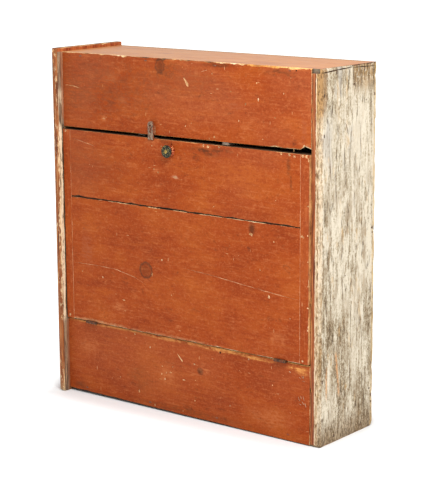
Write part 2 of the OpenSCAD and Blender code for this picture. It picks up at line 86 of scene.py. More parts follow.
def on_front(x, z, face=case_face):
    """A place on the front: x millimetres right of the corner point and z above it."""
    return Vector((corner_x + x * MM, face, corner_z + z * MM))


def on_door(x, z):
    """The same on the door, which stands out, so that what is seen at a place lies further right and up."""
    return on_front(x + DOOR_RIGHT, z + DOOR_UP, door_face)


def on_side(y, z):
    """A place on the right end: y millimetres behind the front and z above the corner point."""
    return Vector((outer_right, behind(y), corner_z + z * MM))


def behind(y):
    """The depth that lies y millimetres behind the front."""
    return case_face + y * MM


def places(at, *spots):
    return [at(*spot) for spot in spots]


# Modelling

def deselect():
    bpy.ops.object.select_all(action="DESELECT")


def take(piece):
    """Makes one piece the selected and active one."""
    deselect()
    piece.select_set(True)
    bpy.context.view_layer.objects.active = piece


def edit(piece, *operators):
    """Runs edit-mode operators on the whole of a piece."""
    take(piece)
    bpy.ops.object.mode_set(mode="EDIT")
    bpy.ops.mesh.select_all(action="SELECT")
    for operator in operators:
        operator()
    bpy.ops.object.mode_set(mode="OBJECT")


def just_added(name):
    piece = bpy.context.active_object
    piece.name = piece.data.name = name
    return piece


def settle(piece):
    """Puts the piece's place, turn and scale into its mesh."""
    take(piece)
    bpy.ops.object.transform_apply(location=True, rotation=True, scale=True)
    return piece


def gather(pieces):
    """Joins loose cutters into one."""
    deselect()
    for piece in pieces:
        piece.select_set(True)
    bpy.context.view_layer.objects.active = pieces[0]
    bpy.ops.object.join()
    return pieces[0]


def apply_modifier(piece, name, kind, **settings):
    modifier = piece.modifiers.new(name, kind)
    for key, value in settings.items():
        setattr(modifier, key, value)
    take(piece)
    bpy.ops.object.modifier_apply(modifier=modifier.name)


def round_edges(piece, width):
    sharp = math.radians(50)
    apply_modifier(
        piece, "round", "BEVEL", width=width * MM, segments=2, limit_method="ANGLE", angle_limit=sharp,
    )


def smooth(piece, angle):
    take(piece)
    bpy.ops.object.shade_smooth_by_angle(angle=math.radians(angle))


def copy_of(node, finish, made="worn"):
    """A copy of a CAD piece with its loose triangles merged into clean flat faces."""
    name = f"{made}_{node}"
    piece = bpy.data.objects.new(name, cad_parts[node].data.copy())
    piece.data.name = name
    bpy.context.scene.collection.objects.link(piece)
    edit(
        piece,
        lambda: bpy.ops.mesh.remove_doubles(threshold=0.001 * MM),
        lambda: bpy.ops.mesh.dissolve_limited(angle_limit=math.radians(0.5)),
    )
    piece.data.materials.clear()
    piece.data.materials.append(finish)
    return piece


def new_strip(name, lengths):
    """A long four-sided bar along X, cut across into that many lengths, to be shaped as a cutter."""
    deselect()
    bpy.ops.mesh.primitive_cube_add(size=1)
    strip = just_added(name)
    bpy.ops.object.mode_set(mode="EDIT")
    bpy.ops.mesh.select_mode(type="EDGE")
    bpy.ops.mesh.select_all(action="DESELECT")
    bpy.ops.object.mode_set(mode="OBJECT")
    for edge in strip.data.edges:
        first, second = (strip.data.vertices[i].co for i in edge.vertices)
        edge.select = abs(first.x - second.x) > 0.5
    bpy.ops.object.mode_set(mode="EDIT")
    bpy.ops.mesh.subdivide(number_cuts=max(1, lengths - 1))
    bpy.ops.object.mode_set(mode="OBJECT")
    return strip


def shape_strip(strip, place):
    """Moves each corner of a strip to place(share of its length, corner number 0 to 3 round it)."""
    corner = {(False, False): 0, (True, False): 1, (True, True): 2, (False, True): 3}
    for vertex in strip.data.vertices:
        share, y, z = vertex.co.x + 0.5, vertex.co.y, vertex.co.z
        vertex.co = place(share, corner[(y > 0, z > 0)])
    edit(strip, lambda: bpy.ops.mesh.normals_make_consistent(inside=False))


def cut_away(board, cutter, finish):
    """Takes a cutter's shape out of a board. The cut faces get the finish of what lies under the paint."""
    cutter.data.materials.clear()
    cutter.data.materials.append(finish)
    apply_modifier(
        board, "cut", "BOOLEAN", operation="DIFFERENCE", object=cutter,
        solver="MANIFOLD", material_mode="TRANSFER",
    )
    bpy.data.objects.remove(cutter)


# Wear

# How far a cutter stands out of the wood, how long its steps are and how far it runs past an arris
OUTSIDE, WEAR_STEP, RUN_OUT = 0.3 * MM, 4 * MM, 3 * MM
# Waves of the wear along an arris, of its nicks and of its lean to one face or the other
LONG_WAVE, SHORT_WAVE, NICK_WAVE, LEAN_WAVE = 26 * MM, 8 * MM, 11 * MM, 17 * MM
# Edges and slivers that are shorter than this are dropped
CRUMB = 0.004 * MM
# Faces look the same way where the cosine between them is over this
SAME_WAY = 0.95


def waver(along, scale, seed):
    """A smooth random number from about -1 to 1 that changes along a length."""
    return noise.noise(Vector((along / scale, seed * 7.31, 0.37 * seed)))


def wear_arris(board, start, end, side_a, side_b, wear, seed, finish, chips=(), uneven=1.0):
    """Rubs an arris down to bare wood. side_a and side_b point along the faces that meet there. Wear is in
    millimetres, and so is each chip: its place along the arris, half its length and its depth."""
    run = end - start
    length = run.length
    strip = new_strip(board.name + "_wear", int(length / WEAR_STEP))

    def place(share, corner):
        along = share * (length + 2 * RUN_OUT) - RUN_OUT
        rub = 0.9 * waver(along, LONG_WAVE, seed) + 0.6 * waver(along, SHORT_WAVE, seed + 3)
        rub += 4 * max(0, waver(along, NICK_WAVE, seed + 5) - 0.45)
        rub = wear * MM * max(0.25, 0.75 + uneven * rub)
        for middle, half, depth in chips:
            rub += depth * MM * max(0, 1 - abs(along - middle * MM) / (half * MM))
        lean = 0.35 * waver(along, LEAN_WAVE, seed + 9)
        a, b = rub * (1 + lean), rub * (1 - lean)
        across = [(-OUTSIDE, -OUTSIDE), (a, -OUTSIDE), (0.3 * a, 0.3 * b), (-OUTSIDE, b)][corner]
        return start + run * (along / length) + side_a * across[0] + side_b * across[1]

    shape_strip(strip, place)
    cut_away(board, strip, finish)


def shown_box(node):
    """A board's box, without the tongues that the door's cleats hide."""
    low, high = (corner.copy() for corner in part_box(node))
    if node in ("door_upper_board", "door_lower_board"):
        low.x, high.x = field_left, field_right
    return low, high


def wear_edge(board, node, face, other, wear, seed, finish, chips=(), trim=(0, 0)):
    """Rubs the arris where two faces of a board meet. The trim is what it leaves alone at the low end and at
    the high end, in millimetres."""
    low, high = shown_box(node)
    start, end = low.copy(), high.copy()
    for axis, way in enumerate(face + other):
        if way:
            start[axis] = end[axis] = (high if way > 0 else low)[axis]
        else:
            start[axis] += trim[0] * MM
            end[axis] -= trim[1] * MM
    wear_arris(board, start, end, -face, -other, wear, seed, finish, chips)


def wear_front(board, node, *arrises):
    """Rubs arrises of a board's front face: each is its side, its wear, its seed and its finish."""
    for side, wear, seed, finish in arrises:
        wear_edge(board, node, FRONT, side, wear, seed, finish)


def split_grain(board, points, width, depth, seed, finish, out=FRONT):
    """Opens a crack in a face along listed points. It wavers with the grain and closes at its ends."""
    reach = np.cumsum([0] + [(b - a).length for a, b in zip(points, points[1:])])
    strip = new_strip(board.name + "_crack", max(8, int(reach[-1] / WEAR_STEP)))
    across = (points[-1] - points[0]).normalized().cross(out)

    def place(share, corner):
        along = share * reach[-1]
        middle = Vector([np.interp(along, reach, [p[i] for p in points]) for i in range(3)])
        middle += across * 0.4 * MM * waver(along, 12 * MM, seed)
        closing = min(1, 6 * share, 6 * (1 - share))
        half = width * MM / 2 * (0.15 + closing * (0.75 + 0.6 * waver(along, 20 * MM, seed + 2)))
        root, down = half / 6, -depth * MM
        side, up = [(-half, OUTSIDE), (half, OUTSIDE), (root, down), (-root, down)][corner]
        return middle + across * side + out * up

    shape_strip(strip, place)
    cut_away(board, strip, finish)


def scrape(board, strokes, width, finish):
    """Scrapes short shallow strokes into the front, each from one place to another."""
    for number, (x1, z1, x2, z2) in enumerate(strokes):
        start, end = on_front(x1, z1), on_front(x2, z2)
        split_grain(board, [start, (start + end) / 2, end], width, 0.6, 40 + number, finish)


def open_knot_ring(board, middle, radius_x, radius_z, finish):
    """Cuts the fine gap that opens round a knot as the wood shrinks away from it."""
    deselect()
    bpy.ops.mesh.primitive_torus_add(
        location=middle, rotation=(math.pi / 2, 0, 0), major_segments=48, minor_segments=6,
        major_radius=1, minor_radius=0.6 / radius_x,
    )
    ring = just_added(board.name + "_ring")
    ring.scale = (radius_x * MM, radius_z * MM, radius_x * MM)
    settle(ring)
    for vertex in ring.data.vertices:
        spoke = vertex.co - middle
        turn = math.atan2(spoke.z, spoke.x)
        swell = 1 + 0.07 * waver(math.cos(turn), 1, 2) + 0.05 * waver(math.sin(turn), 0.6, 4)
        vertex.co = middle + spoke * swell
    cut_away(board, ring, finish)


def knock_out(board, chips, finish, at=on_front):
    """Knocks rough shallow chips out of the front: each is its place, its width and its height."""
    lumps = []
    for number, (x, z, width, height) in enumerate(chips):
        middle = at(x, z)
        deselect()
        bpy.ops.mesh.primitive_ico_sphere_add(subdivisions=3, radius=1)
        lump = just_added(f"{board.name}_chip_{number}")
        size = (width / 2, min(1.6, 0.45 * min(width, height)), height / 2)
        shift = Vector((3.7 * number + middle.x * 90, 0, middle.z * 50))
        for vertex in lump.data.vertices:
            lumpy, gritty = (noise.noise(vertex.co * scale + shift) for scale in (1.9, 4.5))
            rough = max(0.2, 0.85 + 0.8 * lumpy + 0.3 * gritty)
            vertex.co = middle + Vector([c * rough * s * MM for c, s in zip(vertex.co, size)])
        lumps.append(lump)
    cut_away(board, gather(lumps), finish)


def drive_holes(board, holes, out, finish):
    """Empty nail holes, wider at the mouth: each is its place, its radius and its depth in millimetres."""
    cones = []
    turn = UP.rotation_difference(out).to_euler()
    for number, (middle, radius, depth) in enumerate(holes):
        deselect()
        bpy.ops.mesh.primitive_cone_add(
            vertices=14, radius1=0.55 * radius * MM, radius2=radius * MM, depth=depth * MM + OUTSIDE,
            location=middle - out * (depth * MM - OUTSIDE) / 2, rotation=turn,
        )
        cone = settle(just_added(f"{board.name}_hole_{number}"))
        for vertex in cone.data.vertices:
            shake = [noise.noise(vertex.co * 900 + Vector((i, 0, 0))) for i in range(3)]
            vertex.co += 0.12 * radius * MM * Vector(shake)
        cones.append(cone)
    cut_away(board, gather(cones), finish)


def paint_faces(board, finish, *directions, where=None):
    """Gives a finish to the faces of a board that look in any of the directions, or only to those of them
    whose middle is where the test says."""
    slot = board.data.materials.find(finish.name)
    if slot < 0:
        slot = len(board.data.materials)
        board.data.materials.append(finish)
    for face in board.data.polygons:
        looks = any(face.normal.dot(direction) > SAME_WAY for direction in directions)
        if looks and (where is None or where(face.center)):
            face.material_index = slot


def drop_crumbs(piece):
    """Deletes the slivers that the cuts have freed, and returns the one body that is left."""
    name = piece.name
    edit(
        piece,
        lambda: bpy.ops.mesh.quads_convert_to_tris(quad_method="BEAUTY", ngon_method="BEAUTY"),
        lambda: bpy.ops.mesh.dissolve_degenerate(threshold=CRUMB),
        lambda: bpy.ops.mesh.separate(type="LOOSE"),
    )
    bits = sorted(bpy.context.selected_objects, key=lambda bit: len(bit.data.polygons))
    body = bits.pop()
    for bit in bits:
        bpy.data.objects.remove(bit)
    body.name = body.data.name = name
    return body


def hand_over(piece, node, body):
    """Lets a finished piece stand for its CAD node on the body that carries it."""
    piece = drop_crumbs(piece)
    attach(piece, body)
    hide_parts(node)


# Finishes

def tone(*colour):
    """The light that a shader mixes for a colour as a screen shows it: red, green and blue, 0 to 255. A
    colour that is mixed already stays as it is."""
    if len(colour) == 1:
        return colour[0]
    parts = [c / 255 for c in colour]
    return (*[c / 12.92 if c <= 0.04045 else ((c + 0.055) / 1.055) ** 2.4 for c in parts], 1)


class Amount:
    """A number that a finish works out at each place on a piece. It takes +, - and * as plain numbers do."""

    def __init__(self, finish, socket):
        self.finish, self.socket = finish, socket

    def __add__(self, other):
        return self.finish.math("ADD", self, other)

    def __sub__(self, other):
        return self.finish.math("SUBTRACT", self, other)

    def __rsub__(self, other):
        return self.finish.math("SUBTRACT", other, self)

    def __mul__(self, other):
        return self.finish.math("MULTIPLY", self, other)

    __radd__, __rmul__ = __add__, __mul__

    def between(self, low, high):
        """0 below low and 1 above high, in a smooth step, or the reverse where low is the greater."""
        ends = (0.0, 1.0) if low < high else (1.0, 0.0)
        inputs = {0: self, 1: min(low, high), 2: max(low, high), 3: ends[0], 4: ends[1]}
        return self.finish.amount("ShaderNodeMapRange", inputs, interpolation_type="SMOOTHSTEP")

    def inside(self, low, high, soft):
        """1 from low to high, falling off over soft at either end."""
        return self.between(low - soft, low + soft) * self.between(high + soft, high - soft)


class Finish:
    """A material being mixed: patterns first, then a base colour and coat after coat over it."""

    def __init__(self, name):
        self.material = bpy.data.materials.new(name)
        self.material.use_nodes = True
        self.tree = self.material.node_tree
        self.shader = self.tree.nodes["Principled BSDF"]
        self.place = self.add("ShaderNodeTexCoord").outputs["Object"]
        axes = self.add("ShaderNodeSeparateXYZ", {"Vector": self.place}).outputs
        self.x, self.y, self.z = (Amount(self, axis) for axis in axes)

    def set(self, node, key, value):
        value = value.socket if isinstance(value, Amount) else value
        if isinstance(value, bpy.types.NodeSocket):
            self.tree.links.new(value, node.inputs[key])
        else:
            node.inputs[key].default_value = value

    def add(self, kind, inputs=None, **settings):
        node = self.tree.nodes.new(kind)
        for key, value in settings.items():
            setattr(node, key, value)
        for key, value in (inputs or {}).items():
            self.set(node, key, value)
        return node

    def amount(self, kind, inputs, **settings):
        return Amount(self, self.add(kind, inputs, **settings).outputs[0])

    def math(self, operation, a, b=0.0):
        return self.amount("ShaderNodeMath", {0: a, 1: b}, operation=operation)

    def most(self, *values):
        top = values[0]
        for value in values[1:]:
            top = self.math("MAXIMUM", top, value)
        return top

    def stretched(self, scale, seed=0, turn=(0, 0, 0)):
        """Places scaled per metre, evenly or on each axis, moved to a part of the pattern of their own."""
        scale = scale if isinstance(scale, tuple) else (scale, scale, scale)
        shift = (3.1 * seed, 1.7 * seed, 2.3 * seed)
        inputs = {"Vector": self.place, "Location": shift, "Rotation": turn, "Scale": scale}
        return self.add("ShaderNodeMapping", inputs).outputs[0]

    def cloud(self, scale, seed, detail=3.0, roughness=0.55, distortion=0.0):
        inputs = {
            "Vector": self.stretched(scale, seed), "Scale": 1.0, "Detail": detail, "Roughness": roughness,
            "Distortion": distortion,
        }
        return self.amount("ShaderNodeTexNoise", inputs)

    def shaken(self, spots, scale, amount):
        """Places moved about a little, so that marks get ragged outlines."""
        shake = self.add("ShaderNodeTexNoise", {"Vector": spots, "Scale": scale, "Detail": 2.0}).outputs[1]
        for operation, inputs in (
            ("SUBTRACT", {1: (0.5, 0.5, 0.5)}), ("SCALE", {"Scale": amount}), ("ADD", {1: spots}),
        ):
            shake = self.add("ShaderNodeVectorMath", {0: shake, **inputs}, operation=operation).outputs[0]
        return shake

    def specks(self, scale, share, size, seed, turn=(0, 0, 0)):
        """Scattered small ragged marks: that share of the cells has one, up to that size of a cell."""
        spots = self.shaken(self.stretched(scale, seed, turn), 1.2 / size, 0.9 * size)
        cells = self.add("ShaderNodeTexVoronoi", {"Vector": spots, "Scale": 1.0})
        pick = self.amount("ShaderNodeSeparateColor", {0: cells.outputs["Color"]})
        reach = size * pick.between(1 - share, 1)
        return (reach - Amount(self, cells.outputs["Distance"])).between(0, 0.3 * size)

    def oval(self, middle, half_x, half_z, ragged):
        """Distance from a place on the front, 1 at the edge of an oval of that half size in millimetres. The
        edge is ragged along a pattern."""
        wide = (self.x - middle.x) * (1 / (half_x * MM))
        tall = (self.z - middle.z) * (1 / (half_z * MM))
        return self.math("SQRT", wide * wide + tall * tall) + (ragged - 0.5)

    def mix(self, share, a, b):
        return self.add("ShaderNodeMix", {0: share, 6: a, 7: b}, data_type="RGBA").outputs[2]

    def ramp(self, value, *stops):
        """Colours that follow a value: each stop is its position and its colour."""
        node = self.add("ShaderNodeValToRGB", {0: value})
        elements = node.color_ramp.elements
        for _ in stops[2:]:
            elements.new(0.5)
        for element, (position, *colour) in zip(elements, stops):
            element.position, element.color = position, tone(*colour)
        return node.outputs[0]

    def base(self, value, *stops):
        self.colour = self.ramp(value, *stops)

    def coat(self, share, *colour):
        """Lays a colour over what is there, thin where the share is low."""
        self.colour = self.mix(share, self.colour, tone(*colour))

    def relief(self, height, distance):
        inputs = {"Height": height, "Distance": distance * MM, "Strength": 1.0}
        return self.add("ShaderNodeBump", inputs).outputs[0]

    def done(self, roughness, normal=None, shine=0.3, metal=0.0):
        inputs = {"Base Color": self.colour, "Roughness": roughness, "Metallic": metal}
        inputs["Specular IOR Level"] = shine
        if normal:
            inputs["Normal"] = normal
        for key, value in inputs.items():
            self.set(self.shader, key, value)
        return self.material


def grain(along, long_scale, cross_scale):
    """Pattern scale per metre for wood whose fibres run along one axis."""
    return tuple(long_scale if a else cross_scale for a in along)


def year_rings(wood, seed, along, ring, bow=14):
    """Late wood of the year rings, 0 to 1, bowed along the grain by a number of rings. The ring's width is
    in millimetres."""
    bowed = wood.cloud(grain(along, 1.8, 9), seed, 2)
    across = (wood.x if along == ALONG_Z else wood.z) + 0.35 * wood.y
    band = wood.math("FRACT", (1 / (ring * MM)) * across + bow * bowed)
    return band.between(0.35, 0.92) * band.between(1.0, 0.95)


RED_DEEP, RED, RED_ORANGE = tone(128, 48, 15), tone(146, 60, 18), tone(163, 79, 27)
RED_HAZE_AND_DULL, RED_SCUFF, RED_DIRT = tone(150, 76, 44), tone(180, 104, 60), tone(80, 40, 20)
RED_FADED_AND_SHEEN = tone(214, 151, 82)
PINE_LIGHT, PINE, PINE_DARK = tone(206, 166, 116), tone(172, 126, 82), tone(118, 80, 50)
PINE_ORANGE, PINE_PALE, GRIME = tone(200, 136, 66), tone(228, 200, 158), tone(52, 38, 28)
GREY_WOOD = tone(132, 116, 98)


def red_paint(name, seed, along=ALONG_X, at=on_front, knots=(), marks=(), worn=0.5, fade_and_sheen=0.0, dull=0.35,
              shine=0.07, rough=0.3):
    """Old red paint over pine: mottled, rubbed through to orange along the grain, flecked and scratched,
    with a pale haze over wide patches that is painted sheen, as much as dull says. A knot is its place, half
    its width and height, and how dark its middle and its ring are. A mark is a stain, a scuff or a patch of
    painted shade: its place, half its width and height, its colour and its strength."""
    paint = Finish(name)
    patches = paint.cloud(grain(along, 7, 13), seed, 5, 0.62)
    wide = paint.cloud(3.2, seed + 1, 2)
    coarse = paint.cloud(grain(along, 10, 120), seed + 2, 5, 0.62, 0.4)
    threads = paint.cloud(grain(along, 30, 300), seed + 11, 4, 0.62, 0.3)
    blotches = paint.cloud(grain(along, 40, 80), seed + 4, 6, 0.7, 0.6)
    mottle = paint.cloud((110, 110, 150), seed + 3, 4, 0.7)
    dust = paint.cloud((260, 260, 330), seed + 12, 3, 0.7)
    late = year_rings(paint, seed + 10, along, 12)

    paint.base(patches, (0.3, RED_DEEP), (0.5, RED), (0.72, RED_ORANGE))
    # Painted sheen: a pale dull haze over wide patches, as much as dull says, stands in for light from above
    # that the paint reflects
    paint.coat(dull * wide.between(0.42, 0.62), RED_HAZE_AND_DULL)
    paint.coat(0.38 * coarse.between(0.5, 0.72), RED_ORANGE)
    paint.coat(0.34 * coarse.between(0.47, 0.3), RED_DEEP)
    paint.coat(0.08 * late, RED_DEEP)
    fine_layers = ((threads, 0.34, RED_DEEP), (mottle, 0.4, RED_DEEP), (dust, 0.36, RED_DIRT))
    for pattern, share, stain in fine_layers:
        paint.coat(share * pattern.between(0.53, 0.7), RED_SCUFF)
        paint.coat(share * pattern.between(0.45, 0.3), stain)
    paint.coat(0.4 * blotches.between(0.56, 0.74), RED_SCUFF)
    paint.coat(0.45 * blotches.between(0.42, 0.27), RED_DIRT)
    smudged = 0.9 * paint.cloud((130, 130, 160), 4, 4, 0.6)
    for x, z, half_x, half_z, core, rim in knots:
        reach = paint.oval(at(x, z), half_x, half_z, smudged) + 0.05
        paint.coat(core * reach.between(1.15, 0.4), RED_DIRT)
        paint.coat(rim * reach.inside(0.85, 1.08, 0.18), GRIME)
    streaky = 1.3 * threads + 1.5 * blotches
    broken = (0.5 * mottle + 0.5 * threads).between(0.4, 0.56)
    for x, z, half_x, half_z, stain, strength in marks:
        reach = paint.oval(at(x, z), half_x, half_z, streaky) - 0.9
        share = reach.between(1.15, 0.3) * (1.4 * strength * broken)
        paint.coat(paint.math("MINIMUM", share, 1.0), stain)

    flecks = paint.specks(30, 0.4 * worn, 0.05, seed + 5)
    dots = paint.specks(80, 0.35 * worn, 0.07, seed + 6)
    scores = paint.specks((45, 45, 330), 0.06 * worn, 0.2, seed + 7, (0, 0.9, 0))
    slashes = paint.specks((330, 330, 40), 0.035 * worn, 0.2, seed + 8, (0, 0.5, 0))
    gone = paint.most(flecks, dots, scores, slashes)
    bare = paint.mix(patches.between(0.4, 0.6), tone(224, 178, 128), tone(206, 148, 92))
    paint.coat(0.75 * gone, bare)
    paint.coat(0.7 * paint.specks(60, 0.4, 0.07, seed + 9), GRIME)
    # Partly faded paint and partly painted sheen: a pale tan that stands in for part of the light a low-seen
    # top reflects
    paint.coat(fade_and_sheen * coarse.between(0.22, 0.56), RED_FADED_AND_SHEEN)

    height = 0.4 * dust + (0.45 * coarse + 0.2 * late) - 0.6 * gone
    roughness = 0.35 * blotches + (rough + 0.25 * gone)
    return paint.done(roughness, paint.relief(height, 0.25), shine)


def pine(name, seed, along, light=PINE, dark=PINE_DARK, ring=7):
    """Bare old pine with its year rings, fine fibres and darker age stains."""
    wood = Finish(name)
    late = year_rings(wood, seed, along, ring, 6)
    fibres = wood.cloud(grain(along, 16, 700), seed + 1, 3, 0.6)
    broad = wood.cloud(grain(along, 5, 60), seed + 4, 4, 0.62)
    age = wood.cloud(grain(along, 4, 14), seed + 2, 4, 0.6)
    wood.colour = light
    wood.coat(0.36 * late, dark)
    wood.coat(0.5 * broad.between(0.48, 0.68), dark)
    wood.coat(0.4 * fibres.between(0.62, 0.35), dark)
    wood.coat(0.6 * age.between(0.48, 0.72), GREY_WOOD)
    wood.coat(0.7 * wood.specks(40, 0.3, 0.1, seed + 3), GRIME)
    return wood.done(0.62 + 0.25 * age, wood.relief(0.5 * fibres + 0.3 * late, 0.3))


def rubbed_wood(name, seed, *stops):
    """Bare wood where an arris or a crack has lost its paint, cleaner in some stretches than in others."""
    wood = Finish(name)
    fibres = wood.cloud(220, seed + 1, 3)
    wood.base(wood.cloud(26, seed, 4, 0.65), *stops)
    wood.coat(0.4 * fibres.between(0.55, 0.4), PINE_DARK)
    return wood.done(0.75, wood.relief(fibres, 0.2), 0.2)


def cream_paint(name):
    """Chalky cream paint worn off grey wood in short upright streaks, dirtier towards the floor."""
    paint = Finish(name)
    y, z = paint.y, paint.z
    patches = paint.cloud((14, 14, 5), 3, 5, 0.6)
    streaks = paint.cloud((120, 120, 15), 1, 6, 0.66, 0.3)
    flakes = paint.cloud((270, 270, 130), 2, 5, 0.72, 0.5)
    chalk = paint.cloud((330, 330, 260), 4, 3, 0.72)
    low_down = z.between(580 * MM, 60 * MM)
    high_up = z.between(620 * MM, 750 * MM)
    half_way = z.inside(320 * MM, 500 * MM, 90 * MM)
    level = (0.3 * streaks + 0.28 * flakes) + (0.28 * patches + 0.2 * chalk)
    level = level - (0.025 * low_down + 0.028 * high_up)
    even, spread = 0.505, 1.0 + 0.32 * paint.most(half_way, low_down)
    level = even + (level - even) * spread
    paint.base(
        level, (0.38, 80, 62, 43), (0.44, 128, 108, 82), (0.48, 171, 154, 128),
        (0.515, 195, 181, 158), (0.57, 211, 199, 180), (0.68, 198, 180, 148),
    )
    kept = level.between(0.46, 0.51)
    cold = paint.cloud((30, 30, 9), 8, 5, 0.64).between(0.46, 0.62) * z.between(480 * MM, 660 * MM)
    cold = cold * y.between(behind(140), behind(90))
    paint.coat(0.6 * cold, 158, 150, 142)
    soot = paint.cloud((46, 46, 13), 6, 6, 0.7)
    dirty = 0.18 + (0.18 * low_down + 0.5 * half_way)
    paint.coat(soot.between(0.47, 0.6) * dirty, 130, 104, 72)
    warm = paint.cloud((60, 60, 16), 9, 4, 0.66)
    paint.coat(0.5 * warm.between(0.57, 0.7), 204, 164, 112)

    # Fine upright cracks, and brown flecks where the paint has come off near the front
    cells = {"Vector": paint.shaken(paint.stretched((72, 72, 7), 5), 3.0, 0.3), "Scale": 1.0}
    edge = paint.amount("ShaderNodeTexVoronoi", cells, feature="DISTANCE_TO_EDGE")
    cracks = edge.between(0.05, 0.01) * streaks.between(0.5, 0.42)
    paint.coat(0.65 * cracks, 84, 68, 54)
    near_front = y.between(behind(44), behind(6)) * (0.35 + 0.65 * z.between(420 * MM, 600 * MM))
    flecks = paint.specks((120, 120, 60), 0.55, 0.3, 7)
    paint.coat(0.8 * (flecks * near_front), 120, 86, 52)

    # Rubbed front arris with a tan patch at its top, and rust runs low down
    ragged = 30 * MM * (flakes - 0.5)
    ragged_y, ragged_z, torn_z = y + ragged, z + ragged, z + 3.0 * ragged
    arris = ragged_y.between(behind(9), behind(6))
    rubbed = paint.mix(flakes.between(0.4, 0.6), tone(122, 86, 50), tone(204, 158, 98))
    paint.coat(arris * (0.3 + 0.6 * ragged_z.between(655 * MM, 690 * MM)), rubbed)
    top_front = ragged_y.between(behind(22), behind(17)) * torn_z.between(655 * MM, 700 * MM)
    tan = paint.mix(flakes.between(0.36, 0.54), tone(98, 72, 44), tone(150, 114, 74))
    paint.coat(0.85 * top_front, tan)
    slant = y + 0.14 * (z - 148 * MM) + 0.35 * ragged
    long_run = slant.inside(behind(60), behind(66), 2 * MM) * z.inside(96 * MM, 186 * MM, 8 * MM)
    short_run = y.inside(behind(22), behind(27), 2 * MM) * z.inside(100 * MM, 162 * MM, 10 * MM)
    rust = paint.most(long_run, short_run) * flakes.between(0.38, 0.52)
    paint.coat(0.8 * rust, 206, 148, 98)

    # A brown stain at the top rear corner, a dirty foot with pale crumbs, and the rubbed rear arris
    corner = ragged_y.between(behind(104), behind(116)) * torn_z.between(700 * MM, 736 * MM)
    stain = paint.mix(streaks.between(0.4, 0.6), tone(98, 72, 44), tone(170, 134, 88))
    paint.coat(0.9 * (corner * flakes.between(0.66, 0.5)), stain)
    foot = (z + 2.0 * ragged).between(66 * MM, 6 * MM)
    grubby = paint.mix(flakes.between(0.42, 0.58), tone(94, 70, 44), tone(156, 130, 96))
    paint.coat(0.8 * foot, grubby)
    crumbs = paint.specks((130, 130, 100), 0.6, 0.3, 12) * z.between(170 * MM, 40 * MM)
    paint.coat(0.6 * crumbs, 226, 214, 190)
    paint.coat(0.6 * ragged_y.between(behind(184), behind(192)), 196, 160, 104)

    height = 0.7 * kept + (0.35 * chalk + 0.4 * flakes) - cracks
    return paint.done(0.6 + 0.3 * flakes, paint.relief(height, 0.5), 0.2)


def left_inner_face(name):
    """Inner face of the left end board: bare pine inside, and the strip that shows beside the front boards,
    grey with old cream paint along the door and red where it stands up past the top."""
    face = Finish(name)
    ragged = face.cloud((190, 190, 36), 3, 5, 0.68)
    fibres = face.cloud((900, 900, 14), 5, 3)
    streaks = face.cloud((300, 300, 20), 7, 6, 0.7)
    wood = face.mix(fibres.between(0.35, 0.65), PINE_DARK, PINE)
    face.base(
        streaks, (0.38, 64, 45, 34), (0.46, 116, 89, 69), (0.55, 142, 115, 90),
        (0.66, 186, 158, 124),
    )
    shift = 90 * MM * (ragged - 0.5)
    up_and_down = face.z + shift
    beside_door = up_and_down.inside(door_foot - 4 * MM, door_head + 14 * MM, 12 * MM)
    patch = up_and_down.inside(640 * MM, 684 * MM, 9 * MM)
    cream = face.ramp(streaks, (0.38, 128, 96, 66), (0.45, 208, 178, 140), (0.56, 232, 212, 180))
    face.coat(face.most(beside_door, 0.5 * patch) * ragged.between(0.38, 0.46), cream)
    face.coat(0.7 * face.specks((260, 260, 90), 0.5, 0.32, 9), 104, 70, 44)
    inward = face.y + 0.13 * shift
    joint = inward.between(case_face - 7 * MM, case_face - 5 * MM) * (1.0 - beside_door)
    face.coat(0.6 * joint, 150, 84, 50)
    # Painted shadow: a near black line on the strip just in front of the door's face, where the proud door's
    # edge casts shade
    shadow_at_door = inward.between(door_face - 3 * MM, door_face - 1 * MM) * beside_door
    face.coat(0.95 * shadow_at_door, 62, 38, 24)
    face.colour = face.mix(face.y.between(behind(1), case_face - 0.5 * MM), wood, face.colour)
    red = face.mix(streaks.between(0.4, 0.6), RED_DEEP, tone(176, 96, 48))
    face.coat(face.z.between(case_top - 0.5 * MM, case_top + 0.5 * MM), red)
    return face.done(0.65, face.relief(0.4 * fibres + 0.5 * streaks, 0.3), 0.2)


def left_front_edge(name):
    """Front edge of the left end board: red paint worn along the grain to orange and brown wood, with pale
    flakes and pale arrises at its foot."""
    edge = Finish(name)
    streaks = edge.cloud((420, 420, 14), 2, 6, 0.68, 0.3)
    flakes = edge.cloud((240, 240, 60), 5, 5, 0.7, 0.4)
    stretch = edge.cloud((14, 14, 9), 8, 2)
    ragged = flakes - 0.5
    edge.base(
        streaks, (0.37, 66, 35, 18), (0.45, 116, 59, 29), (0.52, 148, 82, 40),
        (0.58, 162, 100, 52), (0.68, 188, 141, 90),
    )
    pale = flakes.between(0.54, 0.6) * stretch.between(0.44, 0.56)
    rim = edge.most(
        edge.x.between(outer_left + 3 * MM, outer_left + 1 * MM),
        edge.x.between(inner_left - 3 * MM, inner_left - 1 * MM),
    )
    near_foot = (edge.z + 120 * MM * ragged).between(60 * MM, 20 * MM)
    pale = edge.most(pale, rim * near_foot)
    lapped = (edge.x + 14 * MM * ragged).between(inner_left - 2 * MM, inner_left - 0.5 * MM)
    pale = edge.most(pale, lapped * edge.z.inside(door_foot, door_head, 10 * MM))
    edge.coat(0.85 * pale, 214, 184, 142)
    low_end = (edge.z + 60 * MM * ragged).between(18 * MM, 4 * MM)
    edge.coat(0.7 * low_end, 160, 134, 102)
    return edge.done(0.6, edge.relief(streaks + -0.5 * pale, 0.4), 0.2)


